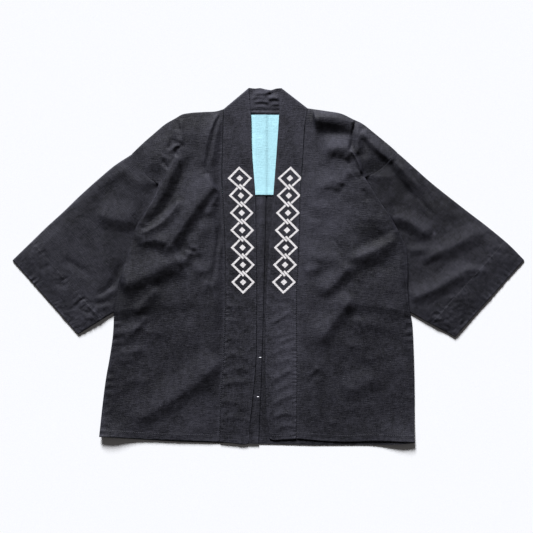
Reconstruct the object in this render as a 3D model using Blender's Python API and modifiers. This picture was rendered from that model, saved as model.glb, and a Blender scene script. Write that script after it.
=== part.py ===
"""Happi coat: a straight-cut Japanese work coat, laid flat on its back with the front up.

World units are metres, +Z up, and the tables below are in millimetres.  +Y runs from the hem to the
collar and +X to the wearer's left.  The origin is on the surface under the middle of the coat.

The coat is cut from a narrow bolt in straight lengths: two body panels that run from the front hem
over the shoulder to the back hem, two folded sleeves, one long doubled collar band and a patch
inside the back neck.  Each body panel is two solids here, parted at the shoulder fold and the side
seam, and the band is three, one for each stretch that shows.
"""
import math
from collections import namedtuple

import bmesh
import bpy
import numpy as np

MM = 0.001

# Driving sizes, in millimetres
SPAN = 1100.0           # cuff to cuff
LENGTH = 768.0          # top of the collar to the back hem
CUFF_RIGHT = 212.5      # width of the flattened cuffs
CUFF_LEFT = 222.0
WALL = 1.0              # cloth of the panels, with its slubs and its folded edges
BAND = 2.0              # collar band, the cloth doubled
GAP = 0.3               # between pieces that lie on each other
CLEAR = 0.5             # in plan, between the edges of pieces that are sewn together
SLEEVE_FLAT = 4.0       # a flattened sleeve: two walls and the air between them
ALLOWANCE = 24.0        # centre-back seam allowance, pressed to the wearer's right
LAP_RUN = 3.0           # the turn of cloth where the allowance folds over
NECK_SEAM = 328.0       # where the band is sewn across the back of the neck
LOFT = 2.3              # how far the middle of a front stands off its edges
EDGE_RUN = 0.05         # share of a panel over which it rises from its edges

# Levels of the undersides, in millimetres above the surface
ON_BACK = WALL + GAP                        # on one layer of the back
ON_SEAM = ON_BACK + WALL + GAP              # on the centre-back allowance
ON_PATCH = ON_SEAM + WALL + GAP             # on the patch where it crosses the allowance
ON_SLEEVE = SLEEVE_FLAT + GAP               # on a flattened sleeve
ON_BAND = BAND + GAP                        # on the band behind the neck

HALF_SPAN = SPAN / 2
TOP = LENGTH / 2

Mark = namedtuple("Mark", "x y z")                      # z: level of the underside
Band = namedtuple("Band", "inner_x inner_y outer_x outer_y z front_z")
Lie = namedtuple("Lie", "from_seam z")
Fold = namedtuple("Fold", "x0 y0 x1 y1 x2 y2 height near far")


def corner(start_x, start_y, length, degrees):
    """The point at a length and a direction from another."""
    turn = math.radians(degrees)
    return start_x + length * math.cos(turn), start_y + length * math.sin(turn)


CUFF_TOP_RIGHT = (-HALF_SPAN, 13.0)
CUFF_LOW_RIGHT = corner(*CUFF_TOP_RIGHT, CUFF_RIGHT, -48.2)
CUFF_TOP_LEFT = (HALF_SPAN, 13.5)
CUFF_LOW_LEFT = corner(*CUFF_TOP_LEFT, CUFF_LEFT, -132.3)

# ---- The collar band, a row for each section from the neck fold down to the hem.  front_z is the
# ---- level of the front that is sewn to its outer edge.
COLLAR_RIGHT = (
    Band(-42, TOP, -97, 339, ON_BAND, ON_BACK),
    Band(-40.5, 360, -97.2, 331, ON_SEAM, ON_SEAM),
    Band(-37, 328, -97.3, 300, ON_PATCH, ON_SEAM),
    Band(-35, 242, -98.4, 250, ON_PATCH, ON_SEAM),
    Band(-28, 156, -99.3, 203, ON_PATCH, ON_SEAM),
    Band(-27, 81, -95.1, 95, ON_SEAM, ON_SEAM),
    Band(-25.5, 16, -92.8, 38, ON_SEAM, ON_SEAM),
    Band(-25.5, -91, -91.8, -91, ON_SEAM, ON_SEAM),
    Band(-27, -199, -95.3, -199, ON_SEAM, ON_SEAM),
    Band(-35, -293, -102.3, -293, ON_SEAM, ON_SEAM),
    Band(-41.5, -376, -104.9, -377, ON_SEAM, ON_BACK),
)
COLLAR_LEFT = (
    Band(28, TOP, 84, 340, ON_BAND, ON_BACK),
    Band(26, 360, 82.4, 331, ON_SEAM, ON_SEAM),
    Band(23, 328, 77.3, 296, ON_PATCH, ON_SEAM),
    Band(18, 263, 73.9, 250, ON_PATCH, ON_SEAM),
    Band(11, 156, 68.3, 162, ON_PATCH, ON_SEAM),
    Band(5.5, 93, 66.3, 90, ON_SEAM, ON_SEAM),
    Band(0, 16, 64.3, 16, ON_SEAM, ON_SEAM),
    Band(-5.5, -70, 60.3, -70, ON_SEAM, ON_SEAM),
    Band(-7, -225, 60.8, -225, ON_SEAM, ON_SEAM),
    Band(2.5, -371, 59.5, -371, ON_SEAM, ON_BACK),
)
COLLAR_NECK = (
    Band(-92, NECK_SEAM + GAP, -96.4, 338.6, 0, 0),
    Band(-42, NECK_SEAM + GAP, -42, TOP - 0.5, 0, 0),
    Band(-7, NECK_SEAM + GAP, -7, TOP - 4, 0, 0),
    Band(28, NECK_SEAM + GAP, 28, TOP - 0.5, 0, 0),
    Band(78, NECK_SEAM + GAP, 83.4, 339.6, 0, 0),
)


def sewn_to(sections, way):
    """The edge of a front along its collar band; way is -1 on the wearer's right and 1 on the left."""
    return tuple(Mark(s.outer_x + way * CLEAR, s.outer_y, s.front_z) for s in sections)


# ---- Edges of the fronts.  "shoulder" runs outwards from the neck and "side" down from the sleeve
# ---- seam, round the armhole and over the sleeve to the hem.
FRONT_RIGHT = {
    "shoulder": (Mark(-97 - CLEAR, 339, ON_BACK), Mark(-184, 332, ON_BACK),
                 Mark(-210, 320, ON_BACK), Mark(-235, 300, ON_BACK), Mark(-268, 267, ON_BACK),
                 Mark(-277, 258, ON_SLEEVE), Mark(-293, 242, ON_SLEEVE)),
    "side": (Mark(-293, 242, ON_SLEEVE), Mark(-262, 210, ON_SLEEVE), Mark(-243, 182, ON_SLEEVE),
             Mark(-246, 144, ON_SLEEVE), Mark(-282, 75, ON_SLEEVE), Mark(-312, 0, ON_SLEEVE),
             Mark(-325, -50, ON_SLEEVE), Mark(-332, -98, ON_SLEEVE), Mark(-332.5, -120, ON_BACK),
             Mark(-333, -141, ON_BACK), Mark(-349, -238, ON_BACK), Mark(-363, -366, ON_BACK)),
    "hem": (Mark(-363, -366, ON_BACK), Mark(-276, -371, ON_BACK),
            Mark(-104.9 - CLEAR, -377, ON_BACK)),
    "band": sewn_to(COLLAR_RIGHT, -1),
}
FRONT_LEFT = {
    "shoulder": (Mark(84 + CLEAR, 340, ON_BACK), Mark(126, 335, ON_BACK), Mark(158, 329, ON_BACK),
                 Mark(201, 308, ON_BACK), Mark(250, 269.5, ON_BACK), Mark(259, 261.5, ON_SLEEVE),
                 Mark(277, 245.5, ON_SLEEVE)),
    "side": (Mark(277, 245.5, ON_SLEEVE), Mark(246, 216, ON_SLEEVE), Mark(210, 190, ON_SLEEVE),
             Mark(233, 149, ON_SLEEVE), Mark(268, 96, ON_SLEEVE), Mark(288, 61, ON_SLEEVE),
             Mark(299, 25, ON_SLEEVE), Mark(300, -50, ON_SLEEVE), Mark(306, -99, ON_SLEEVE),
             Mark(309, -121, ON_BACK), Mark(310.5, -144, ON_BACK), Mark(314, -300, ON_BACK),
             Mark(314, -378, ON_BACK)),
    "hem": (Mark(314, -378, ON_BACK), Mark(150, -376, ON_BACK), Mark(59.5 + CLEAR, -371, ON_BACK)),
    "band": sewn_to(COLLAR_LEFT, 1),
}

# ---- Edges of the sleeves: "top" and "under" run from the armhole to the cuff, "armhole" and
# ---- "cuff" from the top down.  The armholes lie under the fronts.
SLEEVE_RIGHT = {
    "top": (Mark(-280, 255, 0), Mark(-331, 215, 0), Mark(-405, 151, 0), Mark(*CUFF_TOP_RIGHT, 0)),
    "under": (Mark(-277, -65, 0), Mark(-332, -98.5, 0), Mark(*CUFF_LOW_RIGHT, 0)),
    "armhole": (Mark(-280, 255, 0), Mark(-247, 212, 0), Mark(-230, 172, 0), Mark(-231, 112, 0),
                Mark(-250, 20, 0), Mark(-277, -65, 0)),
    "cuff": (Mark(*CUFF_TOP_RIGHT, 0), Mark(*CUFF_LOW_RIGHT, 0)),
}
SLEEVE_LEFT = {
    "top": (Mark(262, 258.5, 0), Mark(307, 219, 0), Mark(412, 131, 0), Mark(*CUFF_TOP_LEFT, 0)),
    "under": (Mark(262, -70, 0), Mark(306, -99.5, 0), Mark(*CUFF_LOW_LEFT, 0)),
    "armhole": (Mark(262, 258.5, 0), Mark(226, 224, 0), Mark(198, 186, 0), Mark(200, 134, 0),
                Mark(227, 25, 0), Mark(262, -70, 0)),
    "cuff": (Mark(*CUFF_TOP_LEFT, 0), Mark(*CUFF_LOW_LEFT, 0)),
}

# ---- Edges of the backs.  "centre" is the centre-back seam, from the neck down.
CENTRE = ((-5.0, NECK_SEAM), (-6.0, 154.0), (-11.0, -65.0), (-16.0, -241.0), (-22.0, -381.0))
BACK_RIGHT = {
    "shoulder": (Mark(-5.2, NECK_SEAM, 0), Mark(-93, NECK_SEAM, 0), Mark(-99, 337.5, 0),
                 Mark(-184, 331, 0), Mark(-234, 299, 0), Mark(-279, 256, 0)),
    "side": (Mark(-279, 256, 0), Mark(-247 + CLEAR, 212.2, 0), Mark(-230 + CLEAR, 172, 0),
             Mark(-231 + CLEAR, 112, 0), Mark(-250 + CLEAR, 20, 0),
             Mark(-277 + CLEAR, -65 - CLEAR, 0), Mark(-331, -99, 0), Mark(-333, -141, 0),
             Mark(-349, -238, 0), Mark(-362, -370, 0)),
    "hem": (Mark(-362, -370, 0), Mark(-201, -377, 0), Mark(-22.2, -381, 0)),
    "centre": tuple(Mark(x - GAP / 2, y, 0) for x, y in CENTRE),
}
BACK_LEFT = {
    "shoulder": (Mark(-5, NECK_SEAM, 0), Mark(79, NECK_SEAM, 0), Mark(86, 338.5, 0),
                 Mark(126, 334, 0), Mark(158, 328, 0), Mark(201, 307, 0), Mark(261, 259.3, 0)),
    "side": (Mark(261, 259.3, 0), Mark(226 - CLEAR, 224.2, 0), Mark(198 - CLEAR, 186, 0),
             Mark(200 - CLEAR, 134, 0), Mark(227 - CLEAR, 25, 0),
             Mark(262 - CLEAR, -70 - CLEAR, 0), Mark(305, -100, 0), Mark(310, -144, 0),
             Mark(313, -300, 0), Mark(312, -379, 0)),
    "hem": (Mark(312, -379, 0), Mark(150, -TOP, 0), Mark(95, -TOP, 0), Mark(-22, -381, 0)),
    "centre": tuple(Mark(x, y, 0) for x, y in CENTRE),
}

# ---- The patch inside the back neck: how it lies over the centre-back allowance
PATCH_TOP = 326.0
PATCH_LOW = 154.0
PATCH_LIE = (
    Lie(-120, ON_BACK), Lie(-60, ON_BACK), Lie(-ALLOWANCE - 6, ON_BACK), Lie(-ALLOWANCE - 1, ON_SEAM),
    Lie(-10, ON_SEAM), Lie(LAP_RUN + 1, ON_SEAM), Lie(LAP_RUN + 6, ON_BACK), Lie(60, ON_BACK),
    Lie(120, ON_BACK),
)

# ---- The largest folds.  A fold bends from (x0, y0) by way of (x1, y1) to (x2, y2); near and far
# ---- are its half-widths to the left and to the right of that way.
FOLDS_FRONT_RIGHT = (
    Fold(-190, 270, -222, 200, -276, 92, 8.0, 12, 24),       # from the shoulder to the sleeve
    Fold(-112, 172, -190, 110, -268, 78, 8.0, 13, 26),       # from the band to the armhole
    Fold(-150, 34, -195, 20, -235, -8, 6.5, 14, 20),         # under the armhole
    Fold(-108, -198, -190, -250, -262, -304, 6.5, 14, 24),   # down to the side seam
)
FOLDS_FRONT_LEFT = (
    Fold(100, 322, 140, 318, 185, 300, 6.0, 14, 8),          # along the shoulder
    Fold(172, 250, 205, 190, 288, 45, 6.5, 24, 12),          # from the shoulder to the sleeve
    Fold(262, 70, 225, 22, 120, 14, 6.5, 18, 14),            # across the chest
    Fold(190, -90, 160, -140, 105, -180, 5.0, 20, 26),       # below the chest
)
FOLDS_SLEEVE_RIGHT = (
    Fold(-318, 205, -400, 130, -490, 60, 3.5, 14, 14),       # along the top of the sleeve
    Fold(-345, -35, -375, -60, -410, -72, 4.5, 12, 12),      # across the under part
)
FOLDS_SLEEVE_LEFT = (
    Fold(285, 205, 370, 145, 470, 62, 4.5, 14, 16),          # along the top of the sleeve
    Fold(325, 45, 385, 70, 450, 66, 4.5, 12, 14),            # across the middle
)

# ---- Meshing: how many squares along and across each piece
FRONT_ROWS, FRONT_COLUMNS = 38, 20
BACK_ROWS, BACK_COLUMNS = 16, 7
SLEEVE_STATIONS, SLEEVE_ACROSS, RIM_STEPS = 10, 12, 3
BAND_ROWS, BAND_COLUMNS = 20, 2
PATCH_ROWS = 3
FOLD_STEPS = 16

# ---- Finish of each kind of cloth: base colour and roughness
Cloth = namedtuple("Cloth", "name colour roughness")
BLACK_COTTON = Cloth("faded black cotton", (0.026, 0.025, 0.032, 1.0), 0.95)
BAND_COTTON = Cloth("faded black cotton band", (0.030, 0.029, 0.036, 1.0), 0.95)
BLUE_COTTON = Cloth("light blue cotton", (0.47, 0.81, 0.89, 1.0), 0.9)


def soften(share):
    """A smooth step from 0 to 1."""
    share = min(1.0, max(0.0, share))
    return share * share * (3.0 - 2.0 * share)


def spread(marks, count):
    """count + 1 points at even steps along a line of marks, with every mark among them."""
    line = np.array(marks, dtype=float)
    reach = np.concatenate(([0.0], np.cumsum(np.linalg.norm(np.diff(line[:, :2], axis=0), axis=1))))
    steps = np.linspace(0.0, reach[-1], count + 1)
    taken = {0, count}
    for length in reach[1:-1]:
        free = [k for k in range(1, count) if k not in taken]
        nearest = min(free, key=lambda k: abs(steps[k] - length))
        steps[nearest] = length
        taken.add(nearest)
    steps.sort()
    return np.column_stack([np.interp(steps, reach, line[:, axis]) for axis in range(3)])


def patch(top, low, start, end, u, v):
    """A point of the sheet that four edges bound: u runs from start to end, v from top to low."""
    columns, rows = len(top) - 1, len(start) - 1
    across = u / columns
    down = v / rows
    ruled = (1 - down) * top[u] + down * low[u] + (1 - across) * start[v] + across * end[v]
    corners = ((1 - across) * (1 - down) * top[0] + across * (1 - down) * top[-1]
               + (1 - across) * down * low[0] + across * down * low[-1])
    return ruled - corners


def fold_height(folds, x, y):
    """How far the folds lift a sheet at a place: soft ridges, steeper on one side."""
    lift = 0.0
    for fold in folds:
        nearest, side, along = 1e9, 1.0, 0.0
        previous = None
        for step in range(FOLD_STEPS + 1):
            t = step / FOLD_STEPS
            here_x = (1 - t) ** 2 * fold.x0 + 2 * t * (1 - t) * fold.x1 + t * t * fold.x2
            here_y = (1 - t) ** 2 * fold.y0 + 2 * t * (1 - t) * fold.y1 + t * t * fold.y2
            if previous:
                run_x, run_y = here_x - previous[0], here_y - previous[1]
                off_x, off_y = x - previous[0], y - previous[1]
                share = (off_x * run_x + off_y * run_y) / (run_x ** 2 + run_y ** 2)
                share = min(1.0, max(0.0, share))
                gap = math.hypot(off_x - share * run_x, off_y - share * run_y)
                if gap < nearest:
                    nearest = gap
                    side = run_x * off_y - run_y * off_x
                    along = t - (1 - share) / FOLD_STEPS
            previous = (here_x, here_y)
        width = fold.near if side > 0 else fold.far
        ends = soften(along / 0.3) * soften((1 - along) / 0.3)
        lift += fold.height * ends * math.exp(-(nearest / width) ** 2)
    return lift


def rise(share):
    """0 at both edges of a sheet and 1 over the rest."""
    return math.sqrt(min(1.0, share / EDGE_RUN, (1.0 - share) / EDGE_RUN))


def material(cloth):
    """The Principled material of a kind of cloth."""
    made = bpy.data.materials.new(cloth.name)
    made.use_nodes = True
    shader = made.node_tree.nodes["Principled BSDF"]
    shader.inputs["Base Color"].default_value = cloth.colour
    shader.inputs["Roughness"].default_value = cloth.roughness
    shader.inputs["Metallic"].default_value = 0.0
    made.diffuse_color = cloth.colour
    return made


def cloth_object(name, rows, closed, thickness, outwards, cloth, coat):
    """A sheet through rows of points, in millimetres, given its wall with Solidify.

    closed joins each row into a ring.  outwards is 1 where the wall grows along the normals and -1
    where it grows against them.
    """
    sheet = bmesh.new()
    grid = [[sheet.verts.new([value * MM for value in point]) for point in row] for row in rows]
    for upper, lower in zip(grid, grid[1:]):
        last = len(upper) if closed else len(upper) - 1
        for k in range(last):
            after = (k + 1) % len(upper)
            sheet.faces.new((upper[k], lower[k], lower[after], upper[after]))
    mesh = bpy.data.meshes.new(name)
    sheet.to_mesh(mesh)
    sheet.free()
    mesh.materials.append(material(cloth))
    made = bpy.data.objects.new(name, mesh)
    coat.objects.link(made)
    wall = made.modifiers.new("wall", "SOLIDIFY")
    wall.thickness = thickness * MM
    wall.offset = outwards
    mesh.shade_smooth()
    return made


def facing_up(rows):
    """The rows, reversed if their sheet would face down."""
    first, second, third = (np.array(point) for point in (rows[0][0], rows[1][0], rows[0][1]))
    if np.cross(second - first, third - first)[2] < 0:
        return [row[::-1] for row in rows]
    return rows


def front(name, edges, folds, coat):
    """A front: a sheet between shoulder, side, hem and band, lifted by its loft and its folds."""
    top = spread(edges["shoulder"], FRONT_COLUMNS)
    low = spread(edges["hem"], FRONT_COLUMNS)[::-1]
    start = spread(edges["band"], FRONT_ROWS)
    end = spread(edges["side"], FRONT_ROWS)
    rows = []
    for v in range(FRONT_ROWS + 1):
        row = []
        for u in range(FRONT_COLUMNS + 1):
            x, y, z = patch(top, low, start, end, u, v)
            lift = rise(u / FRONT_COLUMNS) * rise(v / FRONT_ROWS)
            row.append((x, y, z + lift * (LOFT + fold_height(folds, x, y))))
        rows.append(row)
    return cloth_object(name, facing_up(rows), False, WALL, 1.0, BLACK_COTTON, coat)


def back(name, edges, lap, coat):
    """A back: a flat sheet, with the centre-back allowance turned over its neighbour if it laps."""
    top = spread(edges["shoulder"], BACK_COLUMNS)
    low = spread(edges["hem"], BACK_COLUMNS)[::-1]
    start = spread(edges["centre"], BACK_ROWS)
    end = spread(edges["side"], BACK_ROWS)
    rows = []
    for v in range(BACK_ROWS + 1):
        row = [patch(top, low, start, end, u, v) for u in range(BACK_COLUMNS + 1)]
        if lap:
            seam = row[0]
            turned = [seam + (-ALLOWANCE, 0, ON_BACK), seam + (0, 0, ON_BACK)]
            row = turned + [seam + (LAP_RUN, 0, 0)] + row[1:]
        rows.append(row)
    return cloth_object(name, facing_up(rows), False, WALL, 1.0, BLACK_COTTON, coat)


def sleeve(name, edges, folds, coat):
    """A sleeve: a flattened tube from armhole to cuff, with its top wall lifted by its folds."""
    start = spread(edges["armhole"], SLEEVE_ACROSS)
    end = spread(edges["cuff"], SLEEVE_ACROSS)
    top = spread(edges["top"], SLEEVE_STATIONS)
    low = spread(edges["under"], SLEEVE_STATIONS)
    radius = SLEEVE_FLAT / 2
    rings = []
    for u in range(SLEEVE_STATIONS + 1):
        line = [patch(top, low, start, end, u, v) for v in range(SLEEVE_ACROSS + 1)]
        ring = []
        for k, point in enumerate(line[1:-1], 1):
            share = k / SLEEVE_ACROSS
            lift = soften(4 * share) * soften(4 * (1 - share)) * soften(6 * u / SLEEVE_STATIONS)
            ring.append((point[0], point[1],
                         SLEEVE_FLAT + lift * fold_height(folds, point[0], point[1])))
        ring += rim(line[-1], line[-2], radius, 1)
        ring += [tuple(point) for point in line[-2:0:-1]]
        ring += rim(line[0], line[1], radius, -1)
        rings.append(ring)
    made = cloth_object(name, rings, True, WALL, -1.0, BLACK_COTTON, coat)
    if name.endswith("left"):
        made.data.flip_normals()
    return made


def rim(edge, inside, radius, way):
    """The half-round where a sleeve's two walls meet: way is 1 from the top down, -1 upwards."""
    inwards = np.array(inside[:2]) - np.array(edge[:2])
    inwards /= np.linalg.norm(inwards)
    centre = np.array(edge[:2]) + radius * inwards
    points = []
    for step in range(RIM_STEPS + 2):
        angle = math.pi * step / (RIM_STEPS + 1)
        out = radius * math.sin(angle)
        height = radius * (1 + way * math.cos(angle))
        points.append((*(centre - out * inwards), height))
    return points


def band(name, sections, count, coat):
    """A stretch of the collar band through its sections."""
    inner = spread([Mark(s.inner_x, s.inner_y, s.z) for s in sections], count)
    outer = spread([Mark(s.outer_x, s.outer_y, s.z) for s in sections], count)
    rows = []
    for first, second in zip(inner, outer):
        shares = np.linspace(0.0, 1.0, BAND_COLUMNS + 1)
        rows.append([tuple(first + share * (second - first)) for share in shares])
    return cloth_object(name, facing_up(rows), False, BAND, 1.0, BAND_COTTON, coat)


def neck_patch(name, coat):
    """The patch inside the back neck, lying over the centre-back allowance."""
    rows = []
    for y in np.linspace(PATCH_TOP, PATCH_LOW, PATCH_ROWS + 1):
        seam = np.interp(-y, [-place[1] for place in CENTRE], [place[0] for place in CENTRE])
        rows.append([(seam + lie.from_seam, y, lie.z) for lie in PATCH_LIE])
    return cloth_object(name, facing_up(rows), False, WALL, 1.0, BLUE_COTTON, coat)


def build():
    """Clear the scene and make the coat."""
    for old in list(bpy.data.objects):
        bpy.data.objects.remove(old, do_unlink=True)
    coat = bpy.data.collections.new("happi coat")
    bpy.context.scene.collection.children.link(coat)
    back("back_right", BACK_RIGHT, False, coat)
    back("back_left", BACK_LEFT, True, coat)
    neck_patch("shoulder_patch", coat)
    sleeve("sleeve_right", SLEEVE_RIGHT, FOLDS_SLEEVE_RIGHT, coat)
    sleeve("sleeve_left", SLEEVE_LEFT, FOLDS_SLEEVE_LEFT, coat)
    front("front_right", FRONT_RIGHT, FOLDS_FRONT_RIGHT, coat)
    front("front_left", FRONT_LEFT, FOLDS_FRONT_LEFT, coat)
    band("collar_neck", COLLAR_NECK, 6, coat)
    band("collar_right", COLLAR_RIGHT, BAND_ROWS, coat)
    band("collar_left", COLLAR_LEFT, BAND_ROWS, coat)


build()
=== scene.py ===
"""Happi coat, laid flat: the looks of a straight-cut work coat of faded black cotton.

Lengths in the tables are millimetres, and a mesh is in metres, with +Z up from the surface that the
coat lies on, +Y from the hem to the collar and +X to the wearer's left.
"""

import math
from collections import namedtuple
from functools import partialmethod

import bmesh
import bpy
import numpy as np
from bpy.props import FloatProperty, FloatVectorProperty, PointerProperty
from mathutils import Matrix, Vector
from mathutils.bvhtree import BVHTree


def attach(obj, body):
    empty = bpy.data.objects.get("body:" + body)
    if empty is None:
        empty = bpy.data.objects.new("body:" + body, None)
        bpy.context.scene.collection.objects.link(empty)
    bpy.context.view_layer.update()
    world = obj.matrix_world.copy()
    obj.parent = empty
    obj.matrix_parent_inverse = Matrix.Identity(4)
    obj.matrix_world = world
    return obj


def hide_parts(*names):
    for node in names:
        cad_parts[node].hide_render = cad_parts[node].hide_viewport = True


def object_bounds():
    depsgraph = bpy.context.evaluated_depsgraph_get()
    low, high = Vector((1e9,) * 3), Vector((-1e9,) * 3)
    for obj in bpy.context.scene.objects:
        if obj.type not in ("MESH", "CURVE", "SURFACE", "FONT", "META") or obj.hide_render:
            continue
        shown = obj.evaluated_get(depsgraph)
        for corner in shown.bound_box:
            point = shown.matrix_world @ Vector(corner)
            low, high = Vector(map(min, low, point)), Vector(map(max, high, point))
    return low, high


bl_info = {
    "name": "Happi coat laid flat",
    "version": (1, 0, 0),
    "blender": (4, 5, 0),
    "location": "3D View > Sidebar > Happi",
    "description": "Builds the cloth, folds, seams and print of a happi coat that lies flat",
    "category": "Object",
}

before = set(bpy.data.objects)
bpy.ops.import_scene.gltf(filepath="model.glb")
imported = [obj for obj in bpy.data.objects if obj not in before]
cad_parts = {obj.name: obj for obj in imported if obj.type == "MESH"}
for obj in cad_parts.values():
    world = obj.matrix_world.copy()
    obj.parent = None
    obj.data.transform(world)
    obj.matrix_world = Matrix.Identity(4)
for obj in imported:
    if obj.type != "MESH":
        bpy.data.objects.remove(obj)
CAD_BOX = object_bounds()

MM = 0.001
HALF_SPAN = (CAD_BOX[1][0] - CAD_BOX[0][0]) / 2 / MM
TOP = (CAD_BOX[1][1] - CAD_BOX[0][1]) / 2 / MM

# ------------------------------------------------------------------ sizes of the cloth, in millimetres
TURNED_WALL = 1.8       # cotton where a cuff is turned, which the other walls are shares of
HEM_SHARE, SINGLE_SHARE = 0.7, 0.5      # cotton where a hem is turned, and where it is single
BAND_WALL = 1.7         # collar band, doubled
FOLD_MID = 1.7          # height of the shoulder fold where it shows furthest out
FOLD_UNDER = 2.4        # how far in from that fold the back lies flat
SLEEVE_MID = 2.0        # the same height of a flattened sleeve, at its fold and its seam
EDGE_SLOPE = 0.8        # the way square to a front's edge on a sleeve, for each step sideways from it
ON_SLEEVE = 5.2         # outer face of a front where its edge lies on a sleeve
ON_BACK = 1.7           # outer face of a front where its edge lies on the back
AT_BAND = 3.3           # outer face of a front where it is sewn to the band
HEM_TURN = 14.0         # depth of the turned hem of the body
CUFF_TURN = 58.0        # depth of the turned cuff
TURN_STEP = 0.45        # how far turned cloth stands above single cloth
BAND_MID = 1.9          # height of the neck folds of the band where they show furthest out
BAND_TOP_RIGHT, BAND_TOP_LEFT = 5.0, 4.8        # upper face of each stretch of the band
HEM_PRESSED = 1.6       # how much flatter the band is pressed at its hem
ALLOWANCE = 24.0        # centre-back seam allowance, pressed to the wearer's right
ALLOWANCE_TOP = 1.9     # its upper face
SEAM_GAP = 0.3          # how far the other back stays clear of the centre-back seam
OPENING_HALF = 80.0     # how far to each side a back shows in the front opening, and is rumpled
NECK_SEAM = 328.0       # where the band is sewn across the back of the neck
PATCH_TOP, PATCH_LOW = 326.0, 154.0
PATCH_HALF = 118.0      # half the width of the patch, most of it under the band
PATCH_ON_BACK = 2.1     # upper face of the patch
PATCH_OVER = 1.9        # how much higher it lies over the allowance
PATCH_TURN = 6.0        # depth of its turned edge

# ---- About how long and wide the sheets are, which sets how finely they are meshed
FRONT_LONG, FRONT_WIDE = 715.0, 250.0
BACK_INNER = 85.0       # width of the part of a back that is under the neck
BAND_LONG, BAND_WIDE = 725.0, 66.0
NECK_LONG, NECK_WIDE = 150.0, 62.0      # the stretch of the band behind the neck
NECK_PLACE = 600.0      # where that stretch lies on the band's cloth, away from the lapels

Mark = namedtuple("Mark", "x y z")          # z: height of the outer face
Roll = namedtuple("Roll", "start end top low")
Crease = namedtuple("Crease", "x0 y0 x1 y1 x2 y2 height left right fade", defaults=(0.3,))
Spot = namedtuple("Spot", "x y reach_x reach_y amount")
Pucker = namedtuple("Pucker", "line reach pitch height")
Stitched = namedtuple("Stitched", "edge skipped distance")
Noise = namedtuple("Noise", "wide tall detail roughness shift")
Mottle = namedtuple("Mottle", "noise half amount")
Side = namedtuple("Side", "front back sleeve roll rim creases sleeve_creases tones fade sleeve_fade grain "
                          "sleeve_grain laps seed sleeve_seed")


def table(kind, *rows):
    """A table whose rows have the columns of a named kind."""
    return tuple(kind(*row) for row in rows)


def level(height, *places):
    """Marks at one height."""
    return tuple(Mark(*place, height) for place in places)


def corner(start_x, start_y, length, degrees):
    """The point at a length and a direction from another."""
    turn = math.radians(degrees)
    return start_x + length * math.cos(turn), start_y + length * math.sin(turn)


CUFF_TOP_RIGHT = (-HALF_SPAN, 13.5)
CUFF_LOW_RIGHT = corner(*CUFF_TOP_RIGHT, 213.0, -48.4)
CUFF_TOP_LEFT = (HALF_SPAN, 13.5)
CUFF_LOW_LEFT = corner(*CUFF_TOP_LEFT, 222.5, -132.0)

# ---- Edges of the fronts.  A line of several stretches has a corner between each two.
FRONT_RIGHT = {
    "top": (
        level(FOLD_MID, (-96, 338.5), (-108, 334.5), (-140, 332), (-168, 330), (-186, 326.5), (-199, 319),
              (-220, 307), (-246, 285.5), (-268, 266.5)),
        level(FOLD_MID, (-268, 266.5)) + level(ON_SLEEVE, (-279, 255.5), (-293, 242)),
    ),
    "end": (
        level(ON_SLEEVE, (-293, 242), (-278, 221), (-262, 197), (-236, 177)),
        level(ON_SLEEVE, (-236, 177), (-244, 152), (-262, 121), (-281, 91), (-298, 44), (-308, 8),
              (-319, -25), (-326, -61), (-332, -98)),
        level(ON_SLEEVE, (-332, -98))
        + level(ON_BACK, (-332.5, -118), (-334, -145), (-341, -195), (-349, -240), (-357, -302),
                (-363.5, -366)),
    ),
    "low": (
        level(ON_BACK, (-105.4, -377), (-190, -374.5), (-276, -371), (-330, -367.5), (-363.5, -366)),
    ),
    "start": (
        level(FOLD_MID, (-96, 338.5))
        + level(AT_BAND, (-96.6, 325), (-97.6, 290), (-98.5, 250), (-99.8, 203), (-95.5, 95), (-93.3, 38),
                (-92.4, -91), (-96.3, -199), (-102.7, -293))
        + level(ON_BACK, (-105.4, -377)),
    ),
}
FRONT_LEFT = {
    "top": (
        level(FOLD_MID, (84.5, 340), (105, 337), (126, 334), (158, 328), (182, 316.5), (201, 307.5),
              (225, 289), (250, 268.5)),
        level(FOLD_MID, (250, 268.5)) + level(ON_SLEEVE, (261, 259), (276.5, 245)),
    ),
    "end": (
        level(ON_SLEEVE, (276.5, 245), (246, 215), (228, 202), (207, 192)),
        level(ON_SLEEVE, (207, 192), (218, 173), (233, 149), (268, 96), (287, 61), (297, 35),
              (300, 3), (300, -50), (304.5, -98)),
        level(ON_SLEEVE, (304.5, -98))
        + level(ON_BACK, (308.5, -118), (310.5, -145), (312.5, -195), (314, -260), (314, -378)),
    ),
    "low": (
        level(ON_BACK, (60, -371), (95, -373.5), (149, -377), (230, -376), (314, -378)),
    ),
    "start": (
        level(FOLD_MID, (84.5, 340))
        + level(AT_BAND, (82, 330), (77.8, 296), (75.2, 253), (72.8, 216), (68.8, 162), (67, 81),
                (64.8, 16), (61, -60), (61, -145), (61.8, -225))
        + level(ON_BACK, (60, -371)),
    ),
}

# ---- Edges of the backs, apart from the shoulder, which is the front's.  The centre-back seam runs
# ---- from the neck down, and the side round the hidden armhole to the hem.
CENTRE = ((-5, NECK_SEAM), (-6, 154), (-11, -65), (-16, -241), (-22, -381))
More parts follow.
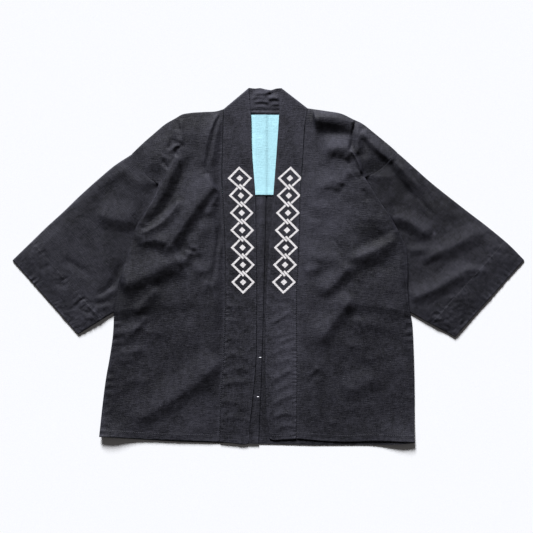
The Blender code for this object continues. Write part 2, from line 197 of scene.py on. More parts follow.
# where the two grids of a back part, between the corner of the neck and the hem
PARTING = ((88, 250), (84, 0))
BACK_RIGHT = {
    "neck": ((-5, NECK_SEAM), (-88, NECK_SEAM)),
    "side": ((-268, 266.5), (-247, 212), (-229, 172), (-230, 112), (-249, 20), (-277, -66),
             (-330, -99), (-332, -141), (-348, -240), (-362, -366)),
    "hem": (((-22, -381), (-110, -379)), ((-110, -379), (-201, -376), (-362, -366))),
}
BACK_LEFT = {
    "neck": ((-5, NECK_SEAM), (78, NECK_SEAM)),
    "side": ((250, 268.5), (226, 224), (197, 186), (199, 134), (226, 25), (261, -71),
             (303, -100), (309, -144), (312.5, -260), (313.5, -379)),
    "hem": (((-22, -381), (15, -381.5), (94, -383.5)),
            ((94, -383.5), (202, -383), (297, -381), (313.5, -379))),
}

# ---- Edges of the sleeves: top and low run from the armhole to the cuff, start is the armhole, under
# ---- the front, and end the cuff.
SLEEVE_RIGHT = {
    "top": ((-275, 254), (-293, 241.5), (-331, 216.5), (-362, 190.5), (-405, 152), (-440, 118),
            (-474, 87), (-506, 56), CUFF_TOP_RIGHT),
    "low": ((-278, -66), (-332, -98.5), CUFF_LOW_RIGHT),
    "start": ((-275, 254), (-247, 212), (-230, 172), (-231, 112), (-250, 20), (-278, -66)),
    "end": (CUFF_TOP_RIGHT, CUFF_LOW_RIGHT),
}
SLEEVE_LEFT = {
    "top": ((257, 258), (276.5, 244.5), (307, 218), (341, 187.5), (412, 130.5), (483, 75.5),
            (519, 45), CUFF_TOP_LEFT),
    "low": ((262, -71), (306, -99.5), CUFF_LOW_LEFT),
    "start": ((257, 258), (226, 224), (198, 186), (200, 134), (227, 25), (262, -71)),
    "end": (CUFF_TOP_LEFT, CUFF_LOW_LEFT),
}

# ---- Edges of the collar band.  free is the folded edge along the opening, sewn the edge on the
# ---- body; both run from the neck fold down to the hem.
LAPEL_RIGHT = {
    "free": ((-42, TOP), (-37.4, 328), (-35, 242), (-28, 156), (-26.6, 81), (-25.4, 16),
             (-25.4, -117), (-26.7, -199), (-30.8, -253), (-35, -293), (-39, -332), (-41.5, -375)),
    "sewn": ((-96.2, 338.5), (-97.6, 290), (-98.4, 250), (-99.6, 203), (-95.2, 95), (-93, 38),
             (-92, -91), (-96, -199), (-102.4, -293), (-105, -377)),
    "hem": ((-41.5, -375), (-44, -380.5), (-50, -382.5), (-70, -381), (-105, -377)),
}
LAPEL_LEFT = {
    "free": ((28, TOP - .5), (24.6, 362), (23, 328), (18.7, 263), (10.8, 158), (5.4, 93), (2.6, 68),
             (0, 16), (-5.4, -63), (-6.9, -171), (-6.9, -225), (-5.4, -278), (-2.8, -332), (2.2, -370)),
    "sewn": ((84.2, 340), (77.5, 296), (75, 253), (72.5, 216), (68.5, 162), (66.8, 81), (64.5, 16),
             (60.6, -60), (60.6, -145), (61.5, -225), (60.4, -330), (59.6, -371)),
    "hem": ((2.2, -370), (8, -372.5), (30, -372), (59.6, -371)),
}
# the neck stretch from the right fold to the left fold, along the top and along the neck seam
NECK = {
    "free": ((-42, TOP), (-30, TOP - 1.5), (-17, TOP - 1.2), (-6, TOP - 4), (5, TOP - 5.5),
             (15, TOP - 2), (28, TOP - .5)),
    "sewn": ((-96.2, 338.5), (-88, 329), (-40, NECK_SEAM), (28, NECK_SEAM), (76, 329), (84.2, 340)),
}

# ---- Creases.  Each runs from (x0, y0) by way of (x1, y1) to (x2, y2); left and right are the widths
# ---- of its flanks to the left and right of that way, and fade is the share over which it dies away
# ---- at each end, 0.3 where a row gives none.  A trough has a negative height.
CREASES_FRONT_RIGHT = table(
    Crease,
    (-188, 319, -186, 289, -185, 257, 2.4, 3, 6, 0.2),   # pleat from the shoulder
    (-185, 261, -227, 178, -278, 85, 1.8, 14, 1.6, 0.06),   # long fold over the armhole, its crisp edge
    (-184, 248, -214, 182, -270, 81, 3.5, 8, 11, 0.2),   # its crest
    (-186, 240, -194, 175, -233, 115, -2.6, 6, 8),   # hollow beside it
    (-195, 298, -197, 281, -188, 263, 2.3, 3, 3),
    (-203, 278, -209, 263, -216, 246, -2.6, 4, 4),
    (-212, 244, -199, 258, -186, 257, 2.9, 2.5, 2.5, 0.25),   # knot
    (-203, 246, -198, 243, -195, 232, -2.2, 2.5, 2.5),
    (-195, 315, -193, 302, -191, 287, -2.3, 2, 2),
    (-233, 233, -220, 233, -209, 223, 1.5, 3, 3),
    (-229, 227, -221, 219, -215, 207, -2.3, 2.5, 2.5),
    (-265, 205, -257, 216, -246, 224, 0.6, 2, 2, 0.2),   # pressed mark of the seam
    (-265, 204, -252, 190, -240, 176, -0.6, 2, 2, 0.2),
    (-246, 224, -231, 216, -216, 203, 0.4, 2, 2, 0.2),
    (-188, 147, -227, 96, -278, 70, 4.6, 7, 3.5, 0.15),   # second ridge
    (-194, 147, -233, 113, -270, 87, -2.2, 4, 9, 0.2),
    (-111, 175, -154, 128, -229, 20, 8.6, 9.5, 24, 0.1),   # brow over the sharp trough
    (-106, 162, -119, 132, -138, 106, 3.3, 6, 4.5, 0.25),
    (-123, 119, -115, 130, -106, 119, -1.1, 2.5, 2.5),
    (-128, 109, -149, 66, -173, 33, 3.5, 13, 10, 0.35),
    (-107, 332, -128, 281, -141, 205, 2.9, 3.5, 10, 0.15),   # folds beside the band
    (-98, 324, -112, 276, -123, 212, 2.5, 7, 3.5, 0.2),
    (-105, 330, -116, 311, -126, 285, 2, 1.6, 2.4, 0.15),
    (-143, 203, -134, 199, -126, 203, -1.5, 3, 3),
    (-216, 46, -244, 56, -285, 48, 3.5, 7, 9, 0.2),
    (-276, 66, -283, 42, -283, 14, -2.3, 6, 6),
    (-148, 18, -155, 38, -171, 35, 2.9, 4, 5, 0.2),   # hooked ridge
    (-166, 37, -177, 16, -197, 6, 4, 6, 8, 0.2),
    (-181, 20, -244, -10, -323, -48, 8.1, 16, 17, 0.14),   # over the wide trough
    (-184, -14, -222, -31, -263, -55, -2.9, 12, 11, 0.35),   # its hollow
    (-231, -44, -263, -74, -287, -111, 4, 8, 8, 0.25),
    (-265, -102, -283, -132, -332, -145, 2.9, 6, 9, 0.2),
    (-272, -117, -293, -145, -321, -167, 1.4, 5, 4, 0.25),
    (-259, -171, -293, -184, -326, -184, 2.2, 8, 6),
    (-278, -145, -242, -141, -203, -164, 1.4, 8, 6),
    (-321, -210, -302, -201, -280, -207, 1.4, 6, 5),
    (-162, -10, -141, -8, -119, -12, 2.4, 9, 6),
    (-141, -35, -128, -38, -113, -35, 1.9, 6, 8),
    (-105, 83, -113, 20, -123, -48, -1.4, 2.5, 2.5, 0.2),
    (-98, 70, -105, 10, -111, -51, 1.1, 4, 3, 0.2),
    (-100, -192, -171, -261, -317, -349, 5.9, 11.5, 22, 0.22),   # down to the side seam
    (-132, -339, -164, -354, -203, -352, 1.5, 7, 16, 0.35),
    (-358, -319, -347, -312, -332, -304, 1.1, 3, 4),
    (-362, -330, -349, -329, -332, -332, 1.4, 4, 4),
    (-321, -253, -280, -246, -240, -246, 1.4, 9, 11, 0.35),
)
CREASES_FRONT_LEFT = table(
    Crease,
    (96, 319, 141, 320, 186, 312, 10.5, 8, 12.5, 0.04),   # along the shoulder
    (102, 291, 141, 287, 182, 285, -1.5, 8, 8, 0.15),
    (115, 253, 150, 252, 178, 253, 6.0, 12, 16, 0.2),
    (132, 242, 158, 229, 188, 218, -2.9, 8, 9, 0.25),
    (181, 309, 181, 281, 178, 253, -2.6, 2.5, 2.5, 0.12),   # upright folds over the armhole
    (193, 313, 192, 276, 190, 238, 3.1, 4, 3.5, 0.12),
    (206, 281, 208, 255, 203, 227, -2.4, 6, 6, 0.25),
    (173, 254, 192, 227, 203, 190, 3.7, 2.4, 14, 0.2),   # the fold over the armhole
    (173, 252, 190, 227, 200, 197, 2.9, 1.4, 1.8, 0.15),
    (201, 197, 238, 142, 274, 81, 0.9, 2.4, 16, 0.08),
    (272, 85, 292, 35, 296, -55, 0.9, 3, 16, 0.12),
    (199, 293, 231, 255, 270, 223, 5.1, 9, 4.8, 0.1),   # trough along the top of the sleeve
    (182, 205, 165, 192, 156, 171, 3.3, 6, 11, 0.2),   # hook below the chest
    (160, 173, 135, 172, 89, 170, 3.7, 9.5, 16),
    (115, 163, 141, 162, 163, 152, -1.9, 6, 6),
    (81, 130, 111, 128, 141, 132, 2.6, 14, 13, 0.35),
    (81, 91, 100, 94, 120, 89, 1.3, 4, 9, 0.35),
    (201, 169, 208, 154, 214, 137, -2, 4, 5),
    (182, 44, 221, 57, 257, 76, -2.6, 11, 8),
    (190, 96, 223, 102, 259, 96, 1.3, 8, 4),
    (279, 66, 227, 33, 165, 14, 5.3, 12, 7, 0.22),   # across the chest
    (180, 10, 150, -27, 109, -68, 6.4, 9, 12, 0.25),
    (279, 14, 240, -3, 193, -10, -2.6, 13, 12),
    (79, 20, 122, 16, 169, 12, 3.2, 15, 11),
    (72, -9, 92, -8, 117, -4, 2.5, 7, 6),
    (137, 66, 150, 44, 163, 27, -1.3, 2, 2, 0.25),
    (184, -57, 145, -111, 94, -180, 6.8, 9, 18, 0.25),
    (163, -83, 188, -83, 221, -91, 1.1, 10, 8),
    (171, -137, 214, -124, 257, -134, 2.2, 10, 12, 0.35),
    (178, -119, 193, -117, 206, -121, 1.1, 4, 4),
    (163, -169, 190, -170, 216, -177, 1.1, 5, 5),
    (160, -195, 169, -205, 178, -220, -0.9, 2.5, 2.5),
    (190, -197, 212, -197, 229, -205, 1.1, 6, 6),
    (111, -223, 95, -240, 79, -257, -2, 5, 5),
    (89, -238, 98, -225, 111, -212, 1.1, 3, 3),
    (238, -233, 197, -255, 150, -276, 3.7, 11, 14),
    (124, -339, 145, -336, 169, -349, 1.1, 6, 4),
    (233, -354, 261, -358, 289, -352, 1.3, 15, 4, 0.35),
)
CREASES_SLEEVE_RIGHT = table(
    Crease,
    (-302, 210, -362, 173, -474, 85, 1.5, 8, 9, 0.1),
    (-295, 199, -330, 180, -369, 160, -2.2, 13, 12),
    (-373, 115, -326, 101, -278, 94, 4.6, 19, 10, 0.25),
    (-446, 16, -414, 1, -369, -29, -1.9, 5, 6),
    (-313, 16, -332, -35, -375, -68, -2.9, 4, 5, 0.2),
    (-373, -71, -349, -58, -321, -48, 1.4, 4, 5, 0.2),
    (-381, -81, -356, -78, -330, -70, -1.1, 4, 4, 0.25),
    (-377, -89, -356, -87, -334, -81, 1.1, 4, 4),
    (-390, -61, -406, -78, -424, -94, -1.5, 3, 3),
    (-401, -97, -388, -98, -375, -97, -1.3, 2.5, 2.5),
    (-399, -115, -386, -116, -373, -115, -1.1, 2.5, 2.5),
    (-392, -78, -379, -91, -366, -106, 1.1, 2, 2),
    (-493, -10, -476, -1, -459, 5, -1.3, 5, 5),
    (-463, -44, -444, -38, -422, -44, -1.1, 5, 5),
)
CREASES_SLEEVE_LEFT = table(
    Crease,
    (259, 238, 289, 203, 335, 145, 5.7, 11, 7),
    (259, 218, 287, 186, 315, 145, -1.3, 8, 8),
    (309, 158, 335, 132, 358, 104, -1.9, 3, 3),
    (274, 218, 311, 186, 356, 132, 1.3, 3, 3, 0.25),
    (272, 203, 309, 164, 343, 109, 1.1, 3, 3, 0.25),
    (289, 216, 326, 173, 365, 126, -1.5, 3.5, 3.5),
    (261, 106, 304, 94, 350, 61, 5.5, 11, 9, 0.2),
    (294, 35, 317, 35, 345, 38, 2.3, 7, 5),
    (324, 14, 386, 38, 479, 89, 5.1, 12, 10, 0.35),
    (332, -3, 356, 10, 382, 23, -0.9, 5, 5),
    (298, -72, 362, -46, 446, 5, 5.5, 12, 9, 0.2),
    (416, -10, 442, -8, 479, -18, 2.3, 6, 7),
    (425, -87, 421, -115, 414, -141, -1.3, 3, 3),
    (345, -115, 362, -102, 373, -117, -1.3, 2.5, 2.5),
    (483, 38, 500, 29, 519, 25, -1.4, 5, 5),
)
CREASES_BAND = table(
    Crease,
    (-91, -195, -70, -189, -40, -203, 1.1, 5, 4),
    (-102, -255, -74, -249, -35, -246, 1.5, 5, 4, 0.25),
    (-102, -296, -83, -290, -59, -298, 1.1, 4, 4),
    (-63, -309, -50, -317, -37, -332, -1.1, 4, 4),
    (-91, -89, -74, -85, -55, -91, 0.9, 4, 3),
    (-93, -119, -76, -116, -61, -121, 0.9, 3, 3),
    (-91, -160, -72, -155, -48, -160, 0.9, 4, 3),
    (-87, -225, -61, -219, -31, -225, 0.9, 4, 4),
    (-102, -330, -80, -324, -55, -328, 1, 4, 4),
    (-1, -124, 31, -111, 61, -94, 1.5, 5, 3, 0.25),
    (3, -152, 34, -145, 59, -137, 0.9, 4, 3),
    (18, -167, 40, -156, 61, -150, 1.2, 4, 3),
    (3, -192, 34, -177, 61, -167, 0.6, 4, 3),
    (1, -214, 31, -203, 59, -197, 0.7, 4, 3, 0.35),
    (3, -250, 29, -233, 59, -218, 1.5, 5, 3.5),
    (8, -272, 34, -257, 59, -248, 0.7, 4, 3),
    (3, -302, 29, -285, 61, -274, 1.5, 5, 3.5),
    (6, -332, 31, -317, 64, -321, 1.5, 5, 3.5),
    (8, -356, 36, -343, 66, -347, 1.1, 4, 3),
    (3, -72, 31, -78, 59, -74, -0.9, 4, 4),
    (12, -126, 34, -111, 57, -96, -1.1, 2, 2, 0.25),
)
CREASES_NECK = table(
    Crease,
    (-35, 374, -14, 371, 8, 377, 2, 3, 2.5, 0.2),
    (-37, 360, -22, 363, -3, 361, 1.7, 3, 2, 0.25),
    (-35, 350, -14, 355, 3, 349, 2, 3, 2.5, 0.25),
    (-3, 357, 10, 362, 25, 358, 2.6, 4, 2.5, 0.25),
    (-1, 377, 6, 369, 12, 379, -2.6, 2.5, 2.5, 0.25),
    (6, 345, 16, 349, 25, 346, 1.5, 3, 2),
    (-31, 342, -16, 344, -1, 342, 1.3, 2.5, 2),
    (-37, 336, -7, 335, 27, 336, -2, 1.7, 1.7, 0.03),   # seam of the neck facing
)

# ---- Spots are round and soft: their middle, their reach and their amount.  First, where the corners of
# ---- the coat stand off the surface, and by how much.
LIFTS = table(
    Spot,
    (-345, -388, 46, 42, 9.0), (298, -396, 46, 44, 6.5), (-430, -160, 60, 40, 1.0),
    (430, -170, 60, 40, 1.0),
)

# ---- Broad paler and darker places of the sides, band and backs: fading, and painted light and shade
# painted light on the lit plane and strip beside the band; painted shade on the lit rim of the shoulder
TONES_RIGHT = table(
    Spot,
    (-200, 45, 34, 32, -0.12), (-255, 92, 34, 19, -0.12), (-108, 164, 22, 172, 0.22),
    (-147, 197, 39, 54, 0.12), (-100, -72, 26, 64, 0.08), (-276, -51, 64, 54, -0.16),
    (-255, 57, 39, 54, -0.12), (-222, 111, 26, 30, -0.08), (-336, 121, 47, 97, -0.12),
    (-323, -8, 26, 86, -0.1), (-255, 10, 47, 26, -0.08), (-448, 111, 54, 26, -0.12),
    (-491, -8, 54, 47, -0.02), (-394, -119, 43, 26, 0.14), (-276, -287, 75, 86, -0.12),
    (-341, -287, 26, 129, -0.1), (-147, -330, 47, 47, 0.2), (-136, -255, 30, 30, -0.16),
    (-136, 3, 34, 26, 0.12), (-194, 203, 22, 30, -0.1), (-222, 164, 22, 39, -0.1),
    (-179, 57, 30, 30, -0.1), (-276, -76, 47, 30, -0.22), (-136, 25, 30, 30, 0.06),
    (-156, 173, 30, 19, 0.18), (-169, 324, 56, 22, -0.26), (-199, 177, 15, 43, -0.1),
    (-255, -29, 47, 30, -0.1),
)
# painted light on the lit patch below the shoulder and the lit chest; painted shade along the shoulder and
# in the pocket above the fold over the armhole
TONES_LEFT = table(
    Spot,
    (111, 154, 52, 108, 0.38), (94, 250, 22, 64, 0.1), (165, 164, 39, 54, 0.12),
    (85, 35, 22, 86, 0.12), (74, -115, 22, 129, 0.08), (111, -147, 22, 32, 0.1),
    (214, 10, 47, 26, -0.1), (186, -40, 34, 30, -0.1), (283, 154, 54, 97, -0.16),
    (380, 132, 54, 43, -0.14), (229, -266, 64, 118, -0.1), (498, -18, 47, 47, 0.14),
    (337, -115, 32, 26, 0.14), (347, -40, 43, 32, -0.08), (124, 111, 30, 47, 0.06),
    (74, 14, 17, 86, 0.12), (132, 74, 43, 34, 0.12), (165, 197, 47, 30, 0.12),
    (254, 58, 34, 17, -0.32), (438, 51, 47, 22, -0.14), (369, 10, 43, 26, -0.08),
    (150, 268, 32, 15, 0.4), (132, 321, 50, 9, -0.28), (208, -8, 43, 17, -0.08),
    (218, 81, 30, 15, -0.12), (154, 100, 34, 30, 0.2), (300, 203, 60, 39, -0.16),
    (158, 238, 19, 13, -0.1), (221, 203, 11, 6, -0.3), (238, 215, 11, 6, -0.28),
    (188, 244, 9, 13, -0.25), (356, 71, 3, 5, 0.9), (304, 211, 2, 2, 0.9), (322, 199, 2, 2, 0.9),
    (423, -85, 34, 26, -0.12), (369, 96, 56, 39, -0.1),
)
TONES_BAND = table(
    Spot,
    (-61, 293, 64, 75, 0.2), (-65, -126, 34, 129, -0.14), (36, 293, 54, 75, 0.18),
    (70, 143, 13, 258, 0.14), (-65, -244, 39, 129, -0.1), (42, -180, 30, 161, 0.3),
    (-14, 358, 43, 26, 0.5),
)
# the long dark strips down the centre-back seam, beside the band's free edge and along the hem under the
# front are painted shadow; the small pale patches near the neck patch are marks on the cloth
TONES_BACK = table(
    Spot,
    (-4, 0, 7, 150, -0.28), (-6, -190, 7, 60, -0.22), (-8, -310, 9, 75, -0.3),
    (-30, -225, 4, 40, -0.3), (-35, -290, 4, 40, -0.3), (-41, -350, 4, 45, -0.3),
    (190, -381, 130, 4, -0.3), (-17, 140, 7, 10, 0.55), (-17, 100, 7, 6, 0.45), (2, 100, 4, 6, 0.3),
    (-18, 100, 8, 150, 0.14), (-14, -20, 12, 2, -0.3), (-28, -370, 9, 6, 0.25),
    (-12, 145, 14, 20, 0.1),
)

# ---- How finely the sheets are meshed, and how far in from an edge the extra rows lie
STEP_FRONT, STEP_SLEEVE, STEP_BAND, STEP_BACK, STEP_INNER, STEP_PATCH = 2.4, 2.3, 2.1, 8.0, 3.6, 2.6
EDGE_STEPS = (0.0, 0.25, 0.7, 1.4, 2.4, 3.8, 5.6)
UNDER_EVERY = 7         # the flat underside of a sleeve has every seventh row of its upper side
SLEEVE_WIDER = 1.2      # how much longer a sleeve is at its armhole than at its cuff, about
WELD = 1e-6             # in metres, how near each other the points are that two grids share
SHARP = 55.0            # degrees between faces above which their edge stays sharp
NOISE_CELLS = 1024      # after how many cells the noise repeats
NOISE_GAIN = 1.6        # brings it to about -1 to 1

# ---- How high the cloth stands in the middle of each piece, and how round its edges are
LOFT_FRONT, LOFT_SLEEVE = 7.0, 4.0
LOFT_LOW = 0.14         # the share of the loft that is left at the hem
LOFT_SEWN = 0.85        # the share of it that the end of a sleeve seam takes away
# how high it stands there with neither loft nor creases, and how softly it comes down to its lowest
STAND_FRONT, STAND_SLEEVE, STAND_BAND, STAND_NECK = 0.3, 1.9, 1.2, 2.0
SOFT_FRONT, SOFT_SLEEVE, SOFT_BAND = 1.3, 0.7, 0.5
CUFF_THIN = 0.64        # how flat a sleeve is pressed at its cuff
BACK_RUMPLE = 0.35      # how high the back is rumpled in the front opening
ROLL_RIGHT = Roll(start=1.4, end=2.4, top=5.0, low=2.0)
ROLL_LEFT = Roll(start=1.4, end=2.4, top=7.0, low=2.0)
ROLL_SLEEVE = Roll(start=None, end=2.8, top=3.2, low=3.0)
ROLL_BAND = Roll(start=1.5, end=1.0, top=5.0, low=1.2)

# ---- The cross-section of a crease, how worn creases and seams are, and the painted shade in their troughs and grooves
CREST_ROUND, CREST_FALL, CREST_REACH = 0.45, 1.6, 2.4
CREASE_STEPS = 14
CREASE_WEAR_AND_SHADE = 0.03      # paler per millimetre of crest, and darker per millimetre of trough as painted shade
CREASE_TONE_CAP = 4.0       # the height past which crests grow no paler and troughs no darker
RIM_AT, RIM_REACH = 3.2, 2.4            # where the pale rim beside a seam lies, and its reach
SHADED_GROOVE_REACH = 1.1      # the reach of the painted shade in the groove along the seam

# ---- Ripples across lines of stitches and folds: how far in from its edge a line lies, how far they
# ---- reach to both sides of it, from one to the next, and their height
PUCKER_SEAM = Pucker(3.0, 5.0, 9.0, 0.35)           # a front beside the band
PUCKER_HEM = Pucker(HEM_TURN, 4.0, 8.0, 0.22)
PUCKER_SIDE = Pucker(6.0, 12.0, 21.0, 0.9)
PUCKER_CUFF = Pucker(CUFF_TURN, 9.0, 12.0, 0.7)
PUCKER_CUFF_EDGE = Pucker(4.0, 11.0, 13.0, 1.0)
PUCKER_BAND = Pucker(3.0, 7.0, 9.5, 0.42)           # the band beside a front
PUCKER_FOLD = Pucker(0.0, 5.0, 13.0, 0.3)           # the folded edge of the band

# ---- The two sides of the coat.  rim is how far in from the shoulder fold a front reaches its loft,
# ---- fade how faded its cotton is, grain how far its long threads are turned, in degrees, and laps
# ---- whether its back has the turned allowance.  The seeds are those of the small rumples, and differ
# ---- so that no two pieces are alike.
RIGHT = Side(
    front=FRONT_RIGHT, back=BACK_RIGHT, sleeve=SLEEVE_RIGHT, roll=ROLL_RIGHT, rim=56.0,
    creases=CREASES_FRONT_RIGHT, sleeve_creases=CREASES_SLEEVE_RIGHT, tones=TONES_RIGHT,
    fade=0.24, sleeve_fade=0.36, grain=-2.0, sleeve_grain=41.0, laps=False, seed=11, sleeve_seed=37)
LEFT = Side(
    front=FRONT_LEFT, back=BACK_LEFT, sleeve=SLEEVE_LEFT, roll=ROLL_LEFT, rim=30.0,
    creases=CREASES_FRONT_LEFT, sleeve_creases=CREASES_SLEEVE_LEFT, tones=TONES_LEFT,
    fade=0.25, sleeve_fade=0.29, grain=1.0, sleeve_grain=-41.0, laps=True, seed=23, sleeve_seed=41)
SEED_BAND, SEED_PATCH, SEED_BACK = 53, 67, 5
FADE_BAND, FADE_PATCH = 0.30, 0.8

# ---- The stitches that show: an edge, how many points of its line have none, and how far to the left
# ---- of it they lie
STITCHED = table(
    Stitched,
    (FRONT_RIGHT["low"], 0, -HEM_TURN), (FRONT_LEFT["low"], 0, HEM_TURN),
    (SLEEVE_RIGHT["end"], 0, CUFF_TURN), (SLEEVE_LEFT["end"], 0, -CUFF_TURN),
    (LAPEL_RIGHT["sewn"], 40, -0.6), (LAPEL_LEFT["sewn"], 40, 0.6),
    (LAPEL_RIGHT["hem"], 20, 9.0), (LAPEL_LEFT["hem"], 8, 9.0),
)
CLOTHS = ("body_right", "body_left", "sleeve_r", "sleeve_l", "collar_band", "neck_patch")
STITCH_STEP = 1.8       # how finely their lines are laid on the cloth
DROP, STITCH_STAND = 0.2, 0.0001        # in metres, how high above it they start and end

# ---- The white tacks on the centre-back allowance, in millimetres, and a tack's size in metres
TACKS = ((-17.6, -195.7), (-22.4, -280.0))
TACK_HALF = 1.0         # half the run of the line that a tack lies on
TACK_LONG, TACK_THICK = 0.0032, 0.0020
TACK_COLOUR = (0.82, 0.82, 0.86)

# ---- The cotton's unevenness: how wide and tall the marks of each noise are, in metres, and how far
# ---- some of them make the cloth paler and darker, half being how far from 0.5 that is reached
COTTON_NOISES = {
    "long slubs": Noise(0.0011, 0.019, 1.0, 0.5, 3.1),
    "cross slubs": Noise(0.016, 0.0012, 1.0, 0.5, 7.7),
    "grains": Noise(0.0032, 0.0036, 2.0, 0.6, 1.3),
    "flecks": Noise(0.0085, 0.0095, 2.0, 0.5, 2.7),
    "clouds": Noise(0.024, 0.034, 3.0, 0.55, 5.9),
    "washes": Noise(0.11, 0.16, 2.0, 0.5, 9.2),
    "specks": Noise(0.0017, 0.0021, 0.0, 0.5, 4.4),
}
RUBBED_NOISE = Noise(0.0016, 0.0021, 3.0, 0.6, 2.2)
MOTTLES = table(
    Mottle, ("grains", 0.25, 0.3), ("flecks", 0.2, 0.33), ("clouds", 0.2, 0.35), ("washes", 0.2, 0.2))
THREAD_PITCH = 0.0014   # of the weave
LINT_COLOUR = (0.22, 0.23, 0.26, 1.0)
INK_HIGHEST = 0.1896    # the middle of the highest lozenge
INK_SHIFT = (-0.004, 0.0, 0.0)          # from the band's middle line
PATCH_DEEP = 0.86       # how deep the patch's colour is where it is least faded

# ---- The floor, the light and the camera: lengths in metres, and angles in degrees
FLOOR_HALF, FLOOR_Z = 6.0, -0.0002
KEY_RISE = 22.0         # how high the light stands above the floor
KEY_SWING = 11.0        # how far it is turned to the wearer's right
KEY_SPREAD = 16.0       # how wide it is
KEY_AWAY = 3.0
KEY_COLOUR = (0.965, 0.975, 1.0)
FILL_COLOUR = (1.0, 0.95, 0.93, 1.0)
EYE_X = -0.0041
SENSOR = 36.0           # width of the camera's sensor, in millimetres

# ---- Kinds of socket
NUMBER, COLOUR, PLACE = "NodeSocketFloat", "NodeSocketColor", "NodeSocketVector"


# ------------------------------------------------------------------ lines, sheets and their heights
def softly(share):
    """A smooth step from 0 to 1."""
    share = np.clip(share, 0.0, 1.0)
    return share * share * (3.0 - 2.0 * share)


def rise(value, start, run):
    """A smooth step from 0 to 1, which begins where the value is at start and takes that run of it."""
    return softly((value - start) / run)


def rounded(off, radius):
    """The height of a quarter circle, from 0 at an edge to 1 at its radius and past it."""
    share = np.clip(off / radius, 0.0, 1.0)
    return np.sqrt(np.maximum(0.0, 1.0 - (1.0 - share) ** 2))


def bend_through(marks, steps=12):
    """Points on a smooth line through marks, which keeps to them where they are unevenly spaced."""
    marks = np.array([tuple(mark) + (0.0,) * (3 - len(mark)) for mark in marks], dtype=float)
    runs = np.linalg.norm(np.diff(marks, axis=0), axis=1)[:, None]
    slopes = np.diff(marks, axis=0) / runs
    tangents = np.vstack((slopes[:1], (slopes[:-1] * runs[1:] + slopes[1:] * runs[:-1])
                          / (runs[1:] + runs[:-1]), slopes[-1:]))
    share = np.linspace(0.0, 1.0, steps, endpoint=False)[:, None]
    pieces = []
    for k, run in enumerate(runs):
        near = (1 + 2 * share) * (1 - share) ** 2 * marks[k]
        far = share ** 2 * (3 - 2 * share) * marks[k + 1]
        leave = share * (1 - share) ** 2 * run * tangents[k]
        arrive = share ** 2 * (share - 1) * run * tangents[k + 1]
        pieces.append(near + far + leave + arrive)
    return np.vstack(pieces + [marks[-1:]])


def line_of(stretches):
    """One line through stretches of marks, smooth within each and with a corner between them."""
    if not isinstance(stretches[0][0], tuple):
        stretches = (stretches,)
    return np.vstack([bend_through(stretch) for stretch in stretches])


def reach_along(line):
    """How far each point of a line is from its start, seen from above."""
    return np.concatenate(([0.0], np.cumsum(np.linalg.norm(np.diff(line[:, :2], axis=0), axis=1))))


def at(line, shares):
    """The points at shares of a line's length."""
    reach = reach_along(line)
    return np.column_stack([np.interp(shares * reach[-1], reach, line[:, axis]) for axis in range(3)])


def graded(length, step, edges=EDGE_STEPS, through=None):
    """Shares of a length at even steps, finer near its ends, with one at the share through."""
    edges = np.array(edges)
    count = max(2, int(round((length - 2 * edges[-1]) / step)))
    inner = np.linspace(edges[-1], length - edges[-1], count + 1)[1:-1]
    shares = np.concatenate((edges, inner, length - edges[::-1])) / length
    if through is not None:
        shares[np.argmin(np.abs(shares - through))] = through
    return shares


def coons(lines, across, down):
    """A grid of points on the sheet that four lines bound, and how far each is from each line."""
    top, low = at(lines["top"], across), at(lines["low"], across)
    start, end = at(lines["start"], down), at(lines["end"], down)
    a, d = across[None, :, None], down[:, None, None]
    ruled = (1 - d) * top[None] + d * low[None] + (1 - a) * start[:, None] + a * end[:, None]
    corners = ((1 - a) * (1 - d) * top[0] + a * (1 - d) * top[-1]
               + (1 - a) * d * low[0] + a * d * low[-1])
    points = ruled - corners
    wide = np.linalg.norm((end - start)[:, :2], axis=1)[:, None]
    tall = np.linalg.norm((low - top)[:, :2], axis=1)[None, :]
    off = Roll(start=across[None, :] * wide, end=(1 - across[None, :]) * wide,
               top=down[:, None] * tall, low=(1 - down[:, None]) * tall)
    return points, off


def carried(lines, across, down, off, reach=10.0):
    """The height that a sheet takes from its sides, with that of its top and its low edge near them."""
    a = across[None, :]
    sides = (1 - a) * at(lines["start"], down)[:, 2:] + a * at(lines["end"], down)[:, 2:]
    over = (at(lines["top"], across)[:, 2] - sides[0]) * np.exp(-off.top / reach)
    under = (at(lines["low"], across)[:, 2] - sides[-1]) * np.exp(-off.low / reach)
    return sides + over + under


def waves(x, y, size, seed):
    """Smooth noise between about -1 and 1, with humps of about that size."""
    dice = np.random.default_rng(seed)
    turn = dice.random(NOISE_CELLS) * 2 * math.pi
    order = dice.permutation(NOISE_CELLS)
    last = NOISE_CELLS - 1
    cell_x, cell_y = np.floor(x / size).astype(int), np.floor(y / size).astype(int)
    in_x, in_y = x / size - cell_x, y / size - cell_y
    ease_x, ease_y = softly(in_x), softly(in_y)
    total = np.zeros_like(x)
    for step_x in (0, 1):
        for step_y in (0, 1):
            spot = order[(order[(cell_x + step_x) & last] + cell_y + step_y) & last]
            push = np.cos(turn[spot]) * (in_x - step_x) + np.sin(turn[spot]) * (in_y - step_y)
            weight = (ease_x if step_x else 1 - ease_x) * (ease_y if step_y else 1 - ease_y)
            total += weight * push
    return total * NOISE_GAIN


def rumple(x, y, seed):
    """The small unevenness of washed cotton: broad swells, soft dents and a net of fine creases."""
    swell = 1.0 * waves(x, y, 95, seed) + 0.75 * waves(x, y, 44, seed + 1)
    dents = 0.4 * waves(x, y, 21, seed + 2) + 0.14 * waves(x, y, 9, seed + 3)
    bent_x = x + 9 * waves(x, y, 30, seed + 4)
    bent_y = y + 9 * waves(x, y, 30, seed + 5)
    net = (0.55 * np.abs(waves(bent_x, bent_y, 27, seed + 6))
           + 0.3 * np.abs(waves(bent_y, bent_x, 13, seed + 7)))
    where = softly(0.5 + 0.9 * waves(x, y, 70, seed + 8))
    return swell + dents - net * where


